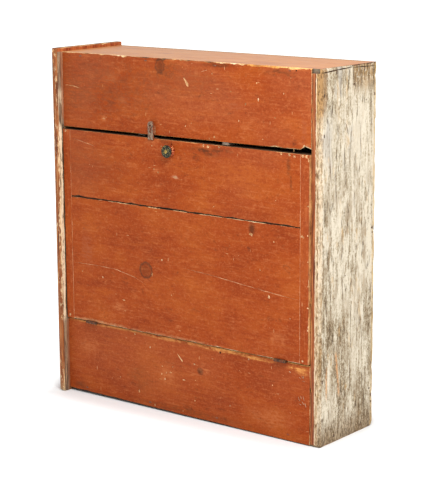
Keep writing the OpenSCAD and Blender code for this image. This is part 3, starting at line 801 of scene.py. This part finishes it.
def right_front_edge(name):
    """Front edge of the right end board: red paint up to a ragged pale line, then rubbed wood and dirty
    cream."""
    edge = Finish(name)
    streaks = edge.cloud((280, 280, 14), 3, 5, 0.66)
    flakes = edge.cloud((300, 300, 80), 6, 5, 0.7, 0.5)
    edge.base(
        streaks, (0.34, 76, 38, 20), (0.46, 124, 62, 32), (0.56, 152, 84, 44),
        (0.7, 178, 124, 78),
    )
    cream = edge.ramp(
        flakes, (0.38, 92, 64, 40), (0.46, 146, 114, 80), (0.54, 184, 157, 123),
        (0.64, 212, 193, 163),
    )
    bare = edge.ramp(flakes, (0.38, 88, 60, 34), (0.46, 142, 107, 66), (0.6, 174, 138, 90))
    shift = 5 * MM * (flakes - 0.5)
    bare = edge.mix((edge.z + 9.0 * shift).between(650 * MM, 680 * MM), cream, bare)
    reach = edge.x + shift - (inner_right + 10.5 * MM)
    edge.coat(reach.between(0, 0.6 * MM), bare)
    line = reach.inside(-0.3 * MM, 1.3 * MM, 0.4 * MM) * streaks.between(0.4, 0.5)
    edge.coat(0.75 * line, 222, 200, 168)
    return edge.done(0.6, edge.relief(streaks + flakes, 0.35), 0.2)


def rusty_iron(name, seed, dark, clean, painted=0.0, rusted=tone(98, 66, 44)):
    """Old wrought iron, pitted, with brown rust and traces of red paint."""
    iron = Finish(name)
    rust = iron.cloud(190, seed, 5, 0.66)
    pits = iron.cloud(800, seed + 1, 3)
    traces = iron.cloud(260, seed + 2, 4)
    iron.base(rust, (0.34, dark), (0.47, rusted), (0.56, clean), (0.74, 138, 92, 60))
    iron.coat(0.5 * pits.between(0.55, 0.4), dark)
    iron.coat(painted * traces.between(0.5, 0.6), RED)
    metal = 0.5 * (1 - painted) * rust.inside(0.52, 0.66, 0.05)
    return iron.done(0.42 + 0.35 * pits, iron.relief(0.5 * pits + 0.7 * rust, 0.2), 0.4, metal)


def old_brass(name):
    """Worn brass of the bolt's head, dull brown in its hollows."""
    brass = Finish(name)
    tarnish = brass.cloud(420, 3, 4)
    brass.base(tarnish, (0.36, 74, 58, 30), (0.6, 204, 166, 82))
    return brass.done(0.4, brass.relief(tarnish, 0.1), 0.5, 0.7)


def knob_paint(name):
    """Black-green paint on the knob, flecked with yellow, over a foot that took the red of the door."""
    paint = Finish(name)
    chips = paint.cloud(380, 2, 5, 0.68)
    cloud = paint.cloud(210, 5, 4)
    paint.base(cloud, (0.38, 8, 8, 6), (0.5, 22, 22, 15), (0.66, 56, 54, 36))
    paint.coat(chips.between(0.57, 0.62), 150, 136, 72)
    red = paint.ramp(chips, (0.38, 92, 28, 10), (0.54, 158, 48, 17), (0.62, 228, 164, 106))
    seam = paint.y + 3 * MM * (cloud - 0.5)
    paint.coat(seam.between(door_face - 12.5 * MM, door_face - 11 * MM), red)
    return paint.done(0.45, paint.relief(chips, 0.2), 0.25)


# The chest's finishes

edge_wood = rubbed_wood(
    "rubbed_arris", 2, (0.34, 70, 46, 30), (0.44, 150, 104, 62), (0.53, PINE_LIGHT),
    (0.66, PINE_PALE),
)
orange_edge = rubbed_wood(
    "orange_arris", 5, (0.34, 132, 72, 34), (0.48, PINE_ORANGE), (0.64, 222, 172, 108),
)
pale_wood = rubbed_wood(
    "pale_chips", 7, (0.34, 180, 126, 78), (0.5, 218, 176, 128), (0.66, 236, 210, 172),
)
crack_wood = rubbed_wood(
    "opened_crack", 8, (0.34, 150, 92, 58), (0.5, 206, 152, 112), (0.64, 230, 188, 146),
)
seam_wood = rubbed_wood(
    "seam_arris", 10, (0.4, GRIME), (0.47, 70, 42, 26), (0.53, 206, 162, 116), (0.68, PINE_PALE),
)
sill_wood = rubbed_wood(
    "sill_arris", 19, (0.38, 150, 82, 44), (0.5, 190, 142, 102), (0.62, 226, 200, 164),
)
lip_wood = rubbed_wood(
    "door_lip", 24, (0.36, 112, 56, 26), (0.5, 176, 98, 50), (0.64, 212, 156, 100),
)
outer_arris = rubbed_wood(
    "cleat_arris", 26, (0.4, 96, 48, 26), (0.52, 148, 82, 44), (0.58, 204, 158, 112),
    (0.7, PINE_PALE),
)
door_side = rubbed_wood(
    "door_side_wood", 23, (0.34, 124, 68, 32), (0.48, 190, 130, 78), (0.64, 214, 162, 106),
)
left_top_edge = rubbed_wood(
    "left_top_edge", 27, (0.34, 88, 48, 26), (0.5, 138, 80, 44), (0.64, 176, 126, 80),
)
scrape_wood = rubbed_wood("grey_scrapes", 28, (0.34, 140, 112, 84), (0.62, 190, 172, 144))
bark = rubbed_wood("knot_bark", 11, (0.34, GRIME), (0.64, 86, 58, 40))
knot_gap = rubbed_wood("knot_gap", 12, (0.34, 78, 40, 22), (0.64, 122, 66, 38))
# Dirt and painted shade: near black wood for the faces in the gaps between the boards and under them, darker
# than dirt alone
gap_dirt_and_shade = rubbed_wood("gap_wood_dirt_and_shade", 13, (0.34, 30, 21, 15), (0.66, 78, 54, 38))
# Painted shade: dark grey wood for the broken-back corner at the top front of the right end, darkened as the
# notch's shade
broken_wood_and_shade = rubbed_wood("broken_corner_and_shade", 16, (0.34, 56, 47, 40), (0.64, 122, 106, 88))
bar_wood = rubbed_wood("bar_wood", 14, (0.34, 178, 162, 142), (0.64, 228, 216, 196))
stop_wood = rubbed_wood("stop_wood", 17, (0.34, 128, 112, 98), (0.64, 168, 152, 136))
pine_flat = pine("pine_lengthwise", 3, ALONG_X)
pine_upright = pine("pine_upright", 6, ALONG_Z)
iron = rusty_iron("rusty_iron", 2, tone(16, 9, 4), tone(92, 64, 38), 0.3, tone(60, 37, 18))
strap_iron = rusty_iron("strap_iron", 5, tone(66, 50, 38), tone(152, 131, 110), 0.25, tone(112, 84, 63))
red_iron = rusty_iron("painted_iron", 8, tone(70, 40, 26), tone(132, 92, 72), 0.85)
brass = old_brass("old_brass")
# The top's paint is paled towards tan: fading and painted sheen together
top_paint = red_paint("red_top", 25, worn=0.4, fade_and_sheen=0.6, shine=0.65, rough=0.18)
cleat_paint = red_paint("red_cleats", 29, ALONG_Z, worn=0.6, dull=0.3)


# Front boards and door

def make_front_top_board():
    node = "front_top_board"
    board = copy_of(node, gap_dirt_and_shade)
    knots = [(274, 746, 12, 15, 0.55, 0.6)]
    # Painted shade: two wide dark patches, over the left of the board and its upper middle, darken it where
    # less light falls
    shade = tone(112, 54, 30)
    marks = [
        (274, 734, 10, 7, GRIME, 0.5), (271, 759, 16, 4, GRIME, 0.6), (300, 742, 34, 18, RED_DIRT, 0.25),
        (575, 750, 52, 8, RED_DIRT, 0.45), (430, 757, 60, 5, RED_DIRT, 0.5),
        (115, 625, 12, 8, RED_SCUFF, 0.5), (170, 668, 18, 9, RED_SCUFF, 0.4),
        (135, 712, 26, 14, RED_SCUFF, 0.4), (258, 611, 3, 14, tone(178, 130, 92), 0.5),
        (470, 676, 20, 9, RED_HAZE_AND_DULL, 0.7), (640, 640, 9, 40, RED_HAZE_AND_DULL, 0.5), (618, 615, 8, 8, RED_DIRT, 0.5),
        (80, 690, 230, 90, shade, 0.4), (330, 720, 150, 40, shade, 0.25),
    ]
    # dull=0.6 gives this board the most painted haze, a painted sheen of the light from above
    paint_faces(board, red_paint("red_front_top", 1, knots=knots, marks=marks, worn=0.6, dull=0.6), FRONT)
    paint_faces(board, top_paint, UP)
    paint_faces(board, pine_flat, BACK)
    chips = [
        (60, 5, 1.5), (112, 6, 1.2), (164, 4, 2), (178, 7, 6), (200, 5, 1.5), (240, 6, 2), (286, 6, 3),
        (303, 4, 1.5), (336, 5, 4), (350, 7, 3), (404, 12, 2.5), (440, 8, 2), (470, 6, 2), (491, 9, 3),
        (530, 6, 2), (604, 9, 3),
    ]
    wear_edge(board, node, FRONT, UP, 1.5, 1, edge_wood, chips)
    wear_arris(board, on_front(505, CASE_HEAD), on_front(658, CASE_HEAD), BACK, DOWN, 3.2, 4, orange_edge)
    lintel_chips = [(417, 5, 2), (404, 3, 2)]
    wear_arris(board, on_front(-3, 600), on_front(560, 602.5), BACK, UP, 0.8, 6, orange_edge, lintel_chips)
    wear_arris(board, on_front(548, 602.5), on_front(631, 602.9), BACK, UP, 2.2, 8, pale_wood)
    up_left, up_right = (UP + LEFT).normalized(), (UP + RIGHT * 0.3).normalized()
    wear_arris(board, on_front(630, 602.6), on_front(641, 608.8), BACK, up_left, 3, 7, pale_wood)
    wear_arris(board, on_front(641, 608.8), on_front(658, 605), BACK, up_right, 3, 9, pale_wood)
    wear_front(board, node, (RIGHT, 0.8, 31, edge_wood), (LEFT, 0.8, 33, crack_wood))
    split_grain(board, places(on_front, (1, 691), (24, 690.4), (48, 686.4)), 1.7, 1, 3, pale_wood)
    split_grain(board, places(on_front, (337, 727), (343, 719), (350, 709)), 7, 1, 5, pale_wood)
    split_grain(board, places(on_front, (384, 741), (392, 744), (400, 746)), 1.4, 0.5, 8, crack_wood)
    specks = [
        (460, 706, 4, 3), (529, 695, 3, 8), (591, 710, 3, 3), (412, 739, 4, 3), (525, 727, 3, 4),
        (570, 661, 3.5, 3.5), (497, 683, 4, 4), (115, 625, 6, 3), (404, 606, 3, 4), (417, 610, 5, 5.5),
        (480, 648, 3, 3), (540, 616, 3, 3), (341, 627, 3, 3), (357, 634, 2.5, 3), (608, 742, 3, 3),
    ]
    knock_out(board, specks, pale_wood)
    drive_holes(board, [(on_front(621, 757), 1.7, 4)], FRONT, bark)
    hand_over(board, node, "case")


def make_front_bottom_board():
    node = "front_bottom_board"
    board = copy_of(node, gap_dirt_and_shade)
    knots = [(376, 107, 8, 7.5, 0.95, 0.5)]
    bare_orange = tone(208, 140, 74)
    marks = [
        (390, 112, 20, 14, RED_SCUFF, 0.45), (526, 160, 52, 5, bare_orange, 0.6),
        (628, 156, 34, 6, bare_orange, 0.7), (642, 148, 18, 5, bare_orange, 0.5),
        (285, 82, 22, 26, RED_SCUFF, 0.4), (205, 60, 40, 40, RED_DIRT, 0.2),
        (60, 110, 34, 24, RED_SCUFF, 0.25), (560, 40, 70, 26, RED_SCUFF, 0.3),
        (330, 12, 200, 9, RED_DIRT, 0.3), (30, 15, 26, 10, RED_DIRT, 0.4),
        (100, 164.5, 130, 4, bare_orange, 0.4), (300, 163.5, 120, 5, bare_orange, 0.45),
        (430, 163, 90, 6, bare_orange, 0.6),
    ]
    paint_faces(board, red_paint("red_front_bottom", 5, knots=knots, marks=marks, worn=0.9, dull=0.3), FRONT)
    paint_faces(board, pine_flat, BACK)
    wear_arris(board, on_front(-3, 167), on_front(604, 167), BACK, DOWN, 1.8, 11, orange_edge)
    wear_arris(board, on_front(600, 167), on_front(658, 167), BACK, DOWN, 3.4, 19, orange_edge)
    wear_front(board, node, (RIGHT, 0.9, 15, edge_wood), (LEFT, 0.8, 35, edge_wood))
    # Painted shadow: the lower arris is cut away in near black gap wood, deepest at the left and gone at the
    # right, as the dark gap under the front
    lower_arris = [(-3, 3, 4.4), (150, 2.3, 3.4), (300, 1.6, 2.4), (450, 0.9, 1.6), (658, 0, 0)]
    for number, (begin, finish) in enumerate(zip(lower_arris, lower_arris[1:])):
        start, end = on_front(begin[0], begin[1]), on_front(finish[0] + 2, finish[1])
        wear_arris(board, start, end, BACK, UP, begin[2], 14 + 7 * number, gap_dirt_and_shade, uneven=0.2)
    split_grain(board, places(on_front, (313, 135.5), (320, 128), (328, 119.5)), 3.6, 0.8, 6, pale_wood)
    specks = [
        (194, 159.6, 5, 4), (236.5, 136.4, 4, 4), (359.5, 120, 5, 4), (269, 83, 5, 3), (294, 90, 6, 3),
        (282, 88, 3, 4), (331, 80, 8, 3), (278, 73, 3, 5), (204.5, 32, 4, 7), (360.5, 39.5, 4, 4),
        (248.5, 9, 3, 6), (327, 10, 4, 3), (504, 155, 4.5, 4), (300, 104, 3, 3), (271, 100, 3, 3),
        (455, 46.6, 3, 2.5), (150, 55, 3, 3), (610, 60, 3, 3),
    ]
    knock_out(board, specks, pale_wood)
    drive_holes(board, [(on_front(429.4, 157), 2.4, 5)], FRONT, bark)
    strokes = [
        (631, 140, 637, 136), (637, 143, 643, 137), (641, 145, 643, 139), (640, 134, 646, 132),
        (629, 98, 634, 89), (635, 101, 637, 94), (641, 102, 644, 92), (638, 90, 645, 83),
        (646, 88, 649, 79), (631, 84, 637, 82), (606, 148, 611, 145),
    ]
    scrape(board, strokes, 1.5, scrape_wood)
    hand_over(board, node, "case")


def make_door_upper_board():
    node = "door_upper_board"
    board = copy_of(node, gap_dirt_and_shade)
    marks = [
        (384, 581, 30, 7, RED_DIRT, 0.6), (408, 575, 30, 9, RED_DIRT, 0.5),
        (370, 563, 13, 10, RED_DIRT, 0.45), (430, 584, 32, 5, RED_DIRT, 0.5),
        (604, 568, 7, 26, RED_DIRT, 0.4), (610, 538, 4, 24, RED_DIRT, 0.35),
        (262, 525, 14, 10, RED_SCUFF, 0.4), (314, 517, 12, 4, tone(196, 150, 116), 0.5),
        (186, 532, 14, 7, RED_SCUFF, 0.4), (285, 590, 20, 6, RED_DIRT, 0.4),
        (250, 586, 18, 8, RED_SCUFF, 0.4), (500, 540, 90, 30, RED_ORANGE, 0.35),
        # Painted shade: a wide dark patch over the left part of the board, where less light falls
        (60, 520, 150, 70, tone(118, 54, 26), 0.3),
    ]
    paint_faces(board, red_paint("red_door_upper", 9, at=on_door, marks=marks, worn=0.5, dull=0.4), FRONT)
    paint_faces(board, pine_flat, BACK)
    # The lower arris is cut in the near black gap wood, so that the seam under it shows dark: partly painted
    # shade
    wear_front(
        board, node, (LEFT, 0.6, 2, crack_wood), (RIGHT, 0.8, 22, crack_wood), (UP, 0.9, 5, lip_wood),
        (DOWN, 2.2, 8, gap_dirt_and_shade),
    )
    split_grain(board, places(on_door, (20.5, 575), (44, 571.5), (88, 563)), 1.3, 0.8, 9, crack_wood)
    specks = [
        (256, 529, 3, 5), (267, 522.5, 4, 4), (314, 516.7, 9, 2.5), (401, 588.7, 7, 5), (389, 590, 5, 6),
        (572.7, 495.3, 3, 3), (415, 465.6, 3, 3), (586, 591, 6, 6), (606, 590, 7, 5),
        (430, 590, 6, 3), (251, 578, 3, 3), (277, 579, 4, 4), (618, 588, 8, 4),
    ]
    knock_out(board, specks, pale_wood, on_door)
    hand_over(board, node, "door")


def make_door_lower_board():
    node = "door_lower_board"
    board = copy_of(node, gap_dirt_and_shade)
    big_knot, wide, tall = (229.5, 307), 16.5, 17
    knots = [(*big_knot, wide, tall, 0.4, 0.6), (513, 431, 8, 13, 0.8, 0.3)]
    sill = tone(172, 122, 84)
    marks = [
        (505, 388, 4, 6, GRIME, 0.6), (150, 215, 22, 12, RED_SCUFF, 0.5), (318, 196, 10, 6, RED_SCUFF, 0.6),
        (105, 242, 40, 10, RED_ORANGE, 0.5), (580, 210, 30, 20, RED_SCUFF, 0.3),
        (60, 330, 20, 60, RED_HAZE_AND_DULL, 0.5), (90, 172, 110, 4, sill, 0.55), (310, 171.5, 130, 3, sill, 0.45),
    ]
    paint = red_paint("red_door_lower", 13, at=on_door, knots=knots, marks=marks, worn=0.5, dull=0.12)
    paint_faces(board, paint, FRONT)
    paint_faces(board, pine_flat, BACK)
    wear_front(
        board, node, (LEFT, 0.7, 12, crack_wood), (RIGHT, 0.8, 32, crack_wood), (UP, 1.5, 15, seam_wood),
        (DOWN, 2, 18, sill_wood),
    )
    left_crack = places(
        on_door, (21, 297.2), (36, 298), (95, 299), (142, 297.5), (171, 292.5), (197, 287), (216.5, 280),
        (233, 272),
    )
    right_crack = places(
        on_door, (334, 325.4), (377, 322.6), (422, 319), (482, 312.6), (538, 307), (583, 303), (629, 299.4),
    )
    split_grain(board, left_crack, 1.3, 0.9, 4, crack_wood)
    split_grain(board, right_crack, 1.6, 0.9, 7, crack_wood)
    open_knot_ring(board, on_door(*big_knot), wide, tall, knot_gap)
    specks = [
        (511.5, 419.5, 9, 7), (105, 274.4, 4.5, 4), (274.5, 335.6, 3, 5), (44, 280, 3, 3),
        (534, 348.3, 3, 4), (556.6, 295.5, 5, 7), (609, 258, 3, 3), (247, 300, 2.5, 8), (165, 232, 7, 3),
        (300, 262, 3, 3),
    ]
    knock_out(board, specks, pale_wood, on_door)
    hand_over(board, node, "door")


def make_door_cleat(side, inward, seed, chips):
    node = f"door_{side}_cleat"
    board = copy_of(node, gap_dirt_and_shade)
    paint_faces(board, cleat_paint, FRONT, LEFT)
    paint_faces(board, door_side, RIGHT)
    paint_faces(board, pine_upright, BACK)
    wear_front(
        board, node, (inward, 0.6, seed, crack_wood), (UP, 1.2, seed + 4, lip_wood),
        (DOWN, 0.9, seed + 24, lip_wood), (-inward, 1.3, seed + 8, outer_arris),
    )
    knock_out(board, chips, pale_wood, on_door)
    hand_over(board, node, "door")


# Case boards

def make_left_end_board():
    node = "left_end_board"
    board = copy_of(node, left_front_edge("worn_left_edge"))
    paint_faces(board, red_paint("red_left_end", 17, ALONG_Z, worn=1.0), LEFT)
    paint_faces(board, left_top_edge, UP)
    paint_faces(board, left_inner_face("left_inner_face"), RIGHT)
    paint_faces(board, pine_upright, DOWN)
    wear_edge(board, node, UP, LEFT, 1.1, 6, edge_wood, trim=(4, 0))
    wear_edge(board, node, UP, RIGHT, 1.1, 7, edge_wood, trim=(4, 0))
    wear_edge(board, node, BACK, UP, 1.2, 7, edge_wood)
    wear_edge(board, node, BACK, DOWN, 1.2, 8, edge_wood)
    wear_edge(board, node, BACK, LEFT, 1.2, 10, edge_wood)
    wear_edge(board, node, FRONT, DOWN, 5, 21, edge_wood)
    wear_edge(board, node, LEFT, DOWN, 4.5, 23, edge_wood)
    chips = [
        (-14, 766, 7, 9), (-7, 757, 6, 13), (-12, 742, 5, 9), (-5, 705, 3, 14), (-6, 655, 3, 20),
        (-15, 620, 4, 10), (-6, 560, 3, 12), (-14, 480, 4, 16), (-6, 420, 3, 18), (-7, 330, 3, 10),
        (-15, 250, 4, 12), (-6, 170, 4, 14), (-9, 60, 4, 9), (-6, 12, 5, 9),
    ]
    just_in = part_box(node)[0].y + 0.6 * MM
    knock_out(board, chips, pale_wood, lambda x, z: on_front(x, z, just_in))
    hand_over(board, node, "case")


def on_ridge(y, inward):
    """A place on top of the right end: y millimetres behind the front and so far in from the outside."""
    return on_side(y, CASE_HEAD) + LEFT * inward * MM


def make_right_end_board():
    node = "right_end_board"
    board = copy_of(node, cream_paint("peeling_cream"))
    low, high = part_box(node)
    paint_faces(board, right_front_edge("worn_right_edge"), FRONT)
    paint_faces(board, top_paint, UP)
    # The broken-back corner gets the dark grey of painted shade
    paint_faces(board, broken_wood_and_shade, FRONT, where=lambda middle: middle.y > low.y + 1 * MM)
    paint_faces(board, broken_wood_and_shade, UP, where=lambda middle: middle.z < high.z - 1 * MM)
    paint_faces(board, pine_upright, LEFT, DOWN)
    wear_edge(board, node, FRONT, LEFT, 2.6, 3, orange_edge, trim=(0, 9))
    knocks = [(70, 9, 3), (128, 12, 4), (300, 8, 2.5), (420, 10, 3), (566, 7, 3), (640, 12, 3), (735, 10, 4)]
    wear_edge(board, node, BACK, RIGHT, 2.2, 5, edge_wood, knocks)
    wear_arris(board, on_side(104, CASE_HEAD), high, LEFT, DOWN, 2.6, 6, bark)
    wear_edge(board, node, RIGHT, DOWN, 2, 8, edge_wood)
    split_grain(board, places(on_side, (113, 724), (111.5, 740), (110.5, 762)), 1.6, 2, 4, bark, RIGHT)
    split_grain(board, places(on_side, (3, 755.5), (50, 757.4), (111, 759.5)), 2.6, 2.5, 12, bark, RIGHT)
    split_grain(board, places(on_side, (108, 758), (150, 757), (192, 755)), 1.8, 2, 16, bark, RIGHT)
    split_grain(board, places(on_ridge, (5, 4.6), (60, 3.4), (112, 2)), 1.6, 2, 15, bark, UP)
    upright_cracks = [
        ((54, 491), (52, 530), (49, 568), 2.2), ((36, 535), (32, 570), (29, 604), 1.8),
        ((62, 617), (61, 634), (61, 650), 2), ((142, 571), (140, 610), (139, 649), 2.2),
        ((95, 625), (90, 640), (84, 651), 1.6), ((119, 454), (118, 480), (118, 509), 2),
        ((111, 96), (108, 130), (107, 158), 1.8), ((82, 285), (79, 315), (77, 340), 1.6),
        ((24, 266), (20, 290), (16, 310), 1.5),
    ]
    for number, (*spots, width) in enumerate(upright_cracks):
        split_grain(board, places(on_side, *spots), width, 1.5, 20 + number, bark, RIGHT)
    holes = [
        (113, 724.5, 2.4), (184, 424, 2.4), (187, 414, 1.8), (182.5, 82, 2.2), (189, 52, 2.2),
        (160, 690, 1.4), (52, 300, 1.2), (88, 340, 1.6),
    ]
    drive_holes(board, [(on_side(y, z), radius, 6) for y, z, radius in holes], RIGHT, bark)
    hand_over(board, node, "case")


def make_top_board():
    node = "top_board"
    board = copy_of(node, pine_flat)
    paint_faces(board, top_paint, UP)
    hand_over(board, node, "case")


def make_back_plank(number):
    node = f"back_plank_{number}"
    light = (PINE, tone(158, 116, 76), tone(178, 134, 90), tone(164, 118, 72))[number - 1]
    plank = copy_of(node, pine(f"pine_back_{number}", 30 + 4 * number, ALONG_Z, light, ring=5 + number))
    for side, wear, seed in ((LEFT, 0.9, 1), (RIGHT, 0.9, 2), (DOWN, 1, 4), (UP, 1, 6)):
        wear_edge(plank, node, BACK, side, wear, seed + 3 * number, edge_wood)
    hand_over(plank, node, "case")


# Fittings

def make_knob():
    knob = copy_of("knob", knob_paint("chipped_knob_paint"), "chipped")
    smooth(knob, 40)
    hand_over(knob, "knob", "latch")


def make_hasp_strap():
    strap = copy_of("hasp_strap", strap_iron, "forged")
    paint_faces(strap, red_iron, RIGHT, LEFT)
    round_edges(strap, 0.6)
    smooth(strap, 35)
    hand_over(strap, "hasp_strap", "door")


def make_latch_bar():
    bar = copy_of("latch_bar", bar_wood)
    round_edges(bar, 1.2)
    hand_over(bar, "latch_bar", "latch")


def make_splinter():
    """A sliver torn from the top front board's lower edge, hanging in the gap over the door."""
    deselect()
    bpy.ops.mesh.primitive_cone_add(
        vertices=6, radius1=0.5 * MM, radius2=1.4 * MM, depth=8 * MM,
        location=on_front(614, 600.3, behind(3)),
    )
    splinter = settle(just_added("gap_splinter"))
    edit(splinter, lambda: bpy.ops.mesh.subdivide(number_cuts=2))
    for vertex in splinter.data.vertices:
        vertex.co.x += 0.4 * MM * waver(vertex.co.z, 4 * MM, 3)
        vertex.co.y += 0.4 * MM * waver(vertex.co.z, 5 * MM, 6)
    splinter.data.materials.append(pale_wood)
    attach(splinter, "case")


def finish_cad_pieces():
    """Gives every CAD piece that stays in view its finish."""
    finishes = {
        "bottom_board": pine_flat, "door_stop": stop_wood, "hasp_staple": red_iron, "front_nails": red_iron,
        "latch_bolt": brass,
    }
    for name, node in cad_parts.items():
        if not node.hide_render:
            node.data.materials.clear()
            node.data.materials.append(finishes.get(name, iron))


make_front_top_board()
make_front_bottom_board()
make_door_upper_board()
make_door_lower_board()
make_door_cleat("left", RIGHT, 7, [(3, 590, 5, 6), (18, 330, 3, 8), (4, 175, 6, 6)])
make_door_cleat("right", LEFT, 8, [
    (638, 591, 7, 6), (647, 590, 6, 9), (652, 583, 3, 9), (637, 430, 6, 5), (641, 428, 4, 3),
    (651, 492, 7, 3), (651, 433, 3, 4), (652, 380, 3, 5), (652, 330, 2.5, 4), (652, 286, 4, 4),
    (652, 240, 2.5, 5), (640, 175, 5, 4),
])
make_left_end_board()
make_right_end_board()
make_top_board()
for plank_number in range(1, 5):
    make_back_plank(plank_number)
make_knob()
make_hasp_strap()
make_latch_bar()
make_splinter()
finish_cad_pieces()


# Studio

FLOOR_SIZE = 40
# The floor's glow colour is painted light, faintly blue-green so that it hides the red light the chest
# throws on the floor
FLOOR_GREY, FLOOR_GLOW = (0.8, 0.8, 0.8, 1), (0.92, 1, 1, 1)
SKY_WHITE, SKY_STRENGTH = (1, 1, 1, 1), 0.68
CAMERA_PLACE = (2.1494, -2.70315, 1.0820)
CAMERA_TURN, CAMERA_DOWN, CAMERA_ROLL = math.radians(38.249), math.radians(11.612), math.radians(-0.325)
LENS, SENSOR = 123.57, 36


def lay_floor():
    """A pale floor that glows, more with the distance from the chest and just beside it: painted light, so
    that the floor shows white while the shade close to the chest stays.
    """
    deselect()
    bpy.ops.mesh.primitive_plane_add(size=FLOOR_SIZE, location=(0, 0, 0))
    floor = just_added("studio_floor")
    white = Finish("studio_white")
    beside = white.most(white.math("ABSOLUTE", white.x) - cad_high.x, 0.0)
    before = white.most(white.math("ABSOLUTE", white.y) - cad_high.y, 0.0)
    away = white.math("SQRT", beside * beside + before * before)
    # Painted light: no glow under the chest, rising within a tenth of a metre and again far off, and more
    # just beside its ends
    glow = 0.46 * away.between(0.0, 0.1) + 0.2 * away.between(0.8, 2.4)
    glow = glow + 0.15 * beside.between(0.0, 0.05)
    white.set(white.shader, "Emission Color", FLOOR_GLOW)
    white.set(white.shader, "Emission Strength", glow)
    white.colour = FLOOR_GREY
    floor.data.materials.append(white.done(0.9, shine=0.1))


def hang_lamp(name, place, aim, size, power):
    lamp = bpy.data.lights.new(name, "AREA")
    lamp.shape, lamp.size, lamp.energy = "SQUARE", size, power
    holder = bpy.data.objects.new(name, lamp)
    holder.location = place
    holder.rotation_euler = (Vector(aim) - Vector(place)).to_track_quat("-Z", "Y").to_euler()
    bpy.context.scene.collection.objects.link(holder)


def light_studio():
    world = bpy.data.worlds.new("studio")
    world.use_nodes = True
    sky = world.node_tree.nodes["Background"].inputs
    sky["Color"].default_value = SKY_WHITE
    sky["Strength"].default_value = SKY_STRENGTH
    bpy.context.scene.world = world
    hang_lamp("overhead", (0.7, -0.5, 3.2), (0, 0, 0.4), 2.2, 44)
    hang_lamp("front_right", (1.0, -0.95, 1.55), (0.15, -0.09, 0.45), 0.6, 22)
    bpy.context.scene.view_settings.view_transform = "Standard"


def set_camera():
    camera = bpy.data.objects.new("camera", bpy.data.cameras.new("camera"))
    camera.data.lens = LENS
    camera.data.sensor_width = SENSOR
    tilt = Matrix.Rotation(math.pi / 2 - CAMERA_DOWN, 3, "X") @ Matrix.Rotation(CAMERA_ROLL, 3, "Z")
    aim = Matrix.Rotation(CAMERA_TURN, 3, "Z") @ tilt
    camera.matrix_world = Matrix.Translation(CAMERA_PLACE) @ aim.to_4x4()
    bpy.context.scene.collection.objects.link(camera)
    bpy.context.scene.camera = camera


lay_floor()
light_studio()
set_camera()
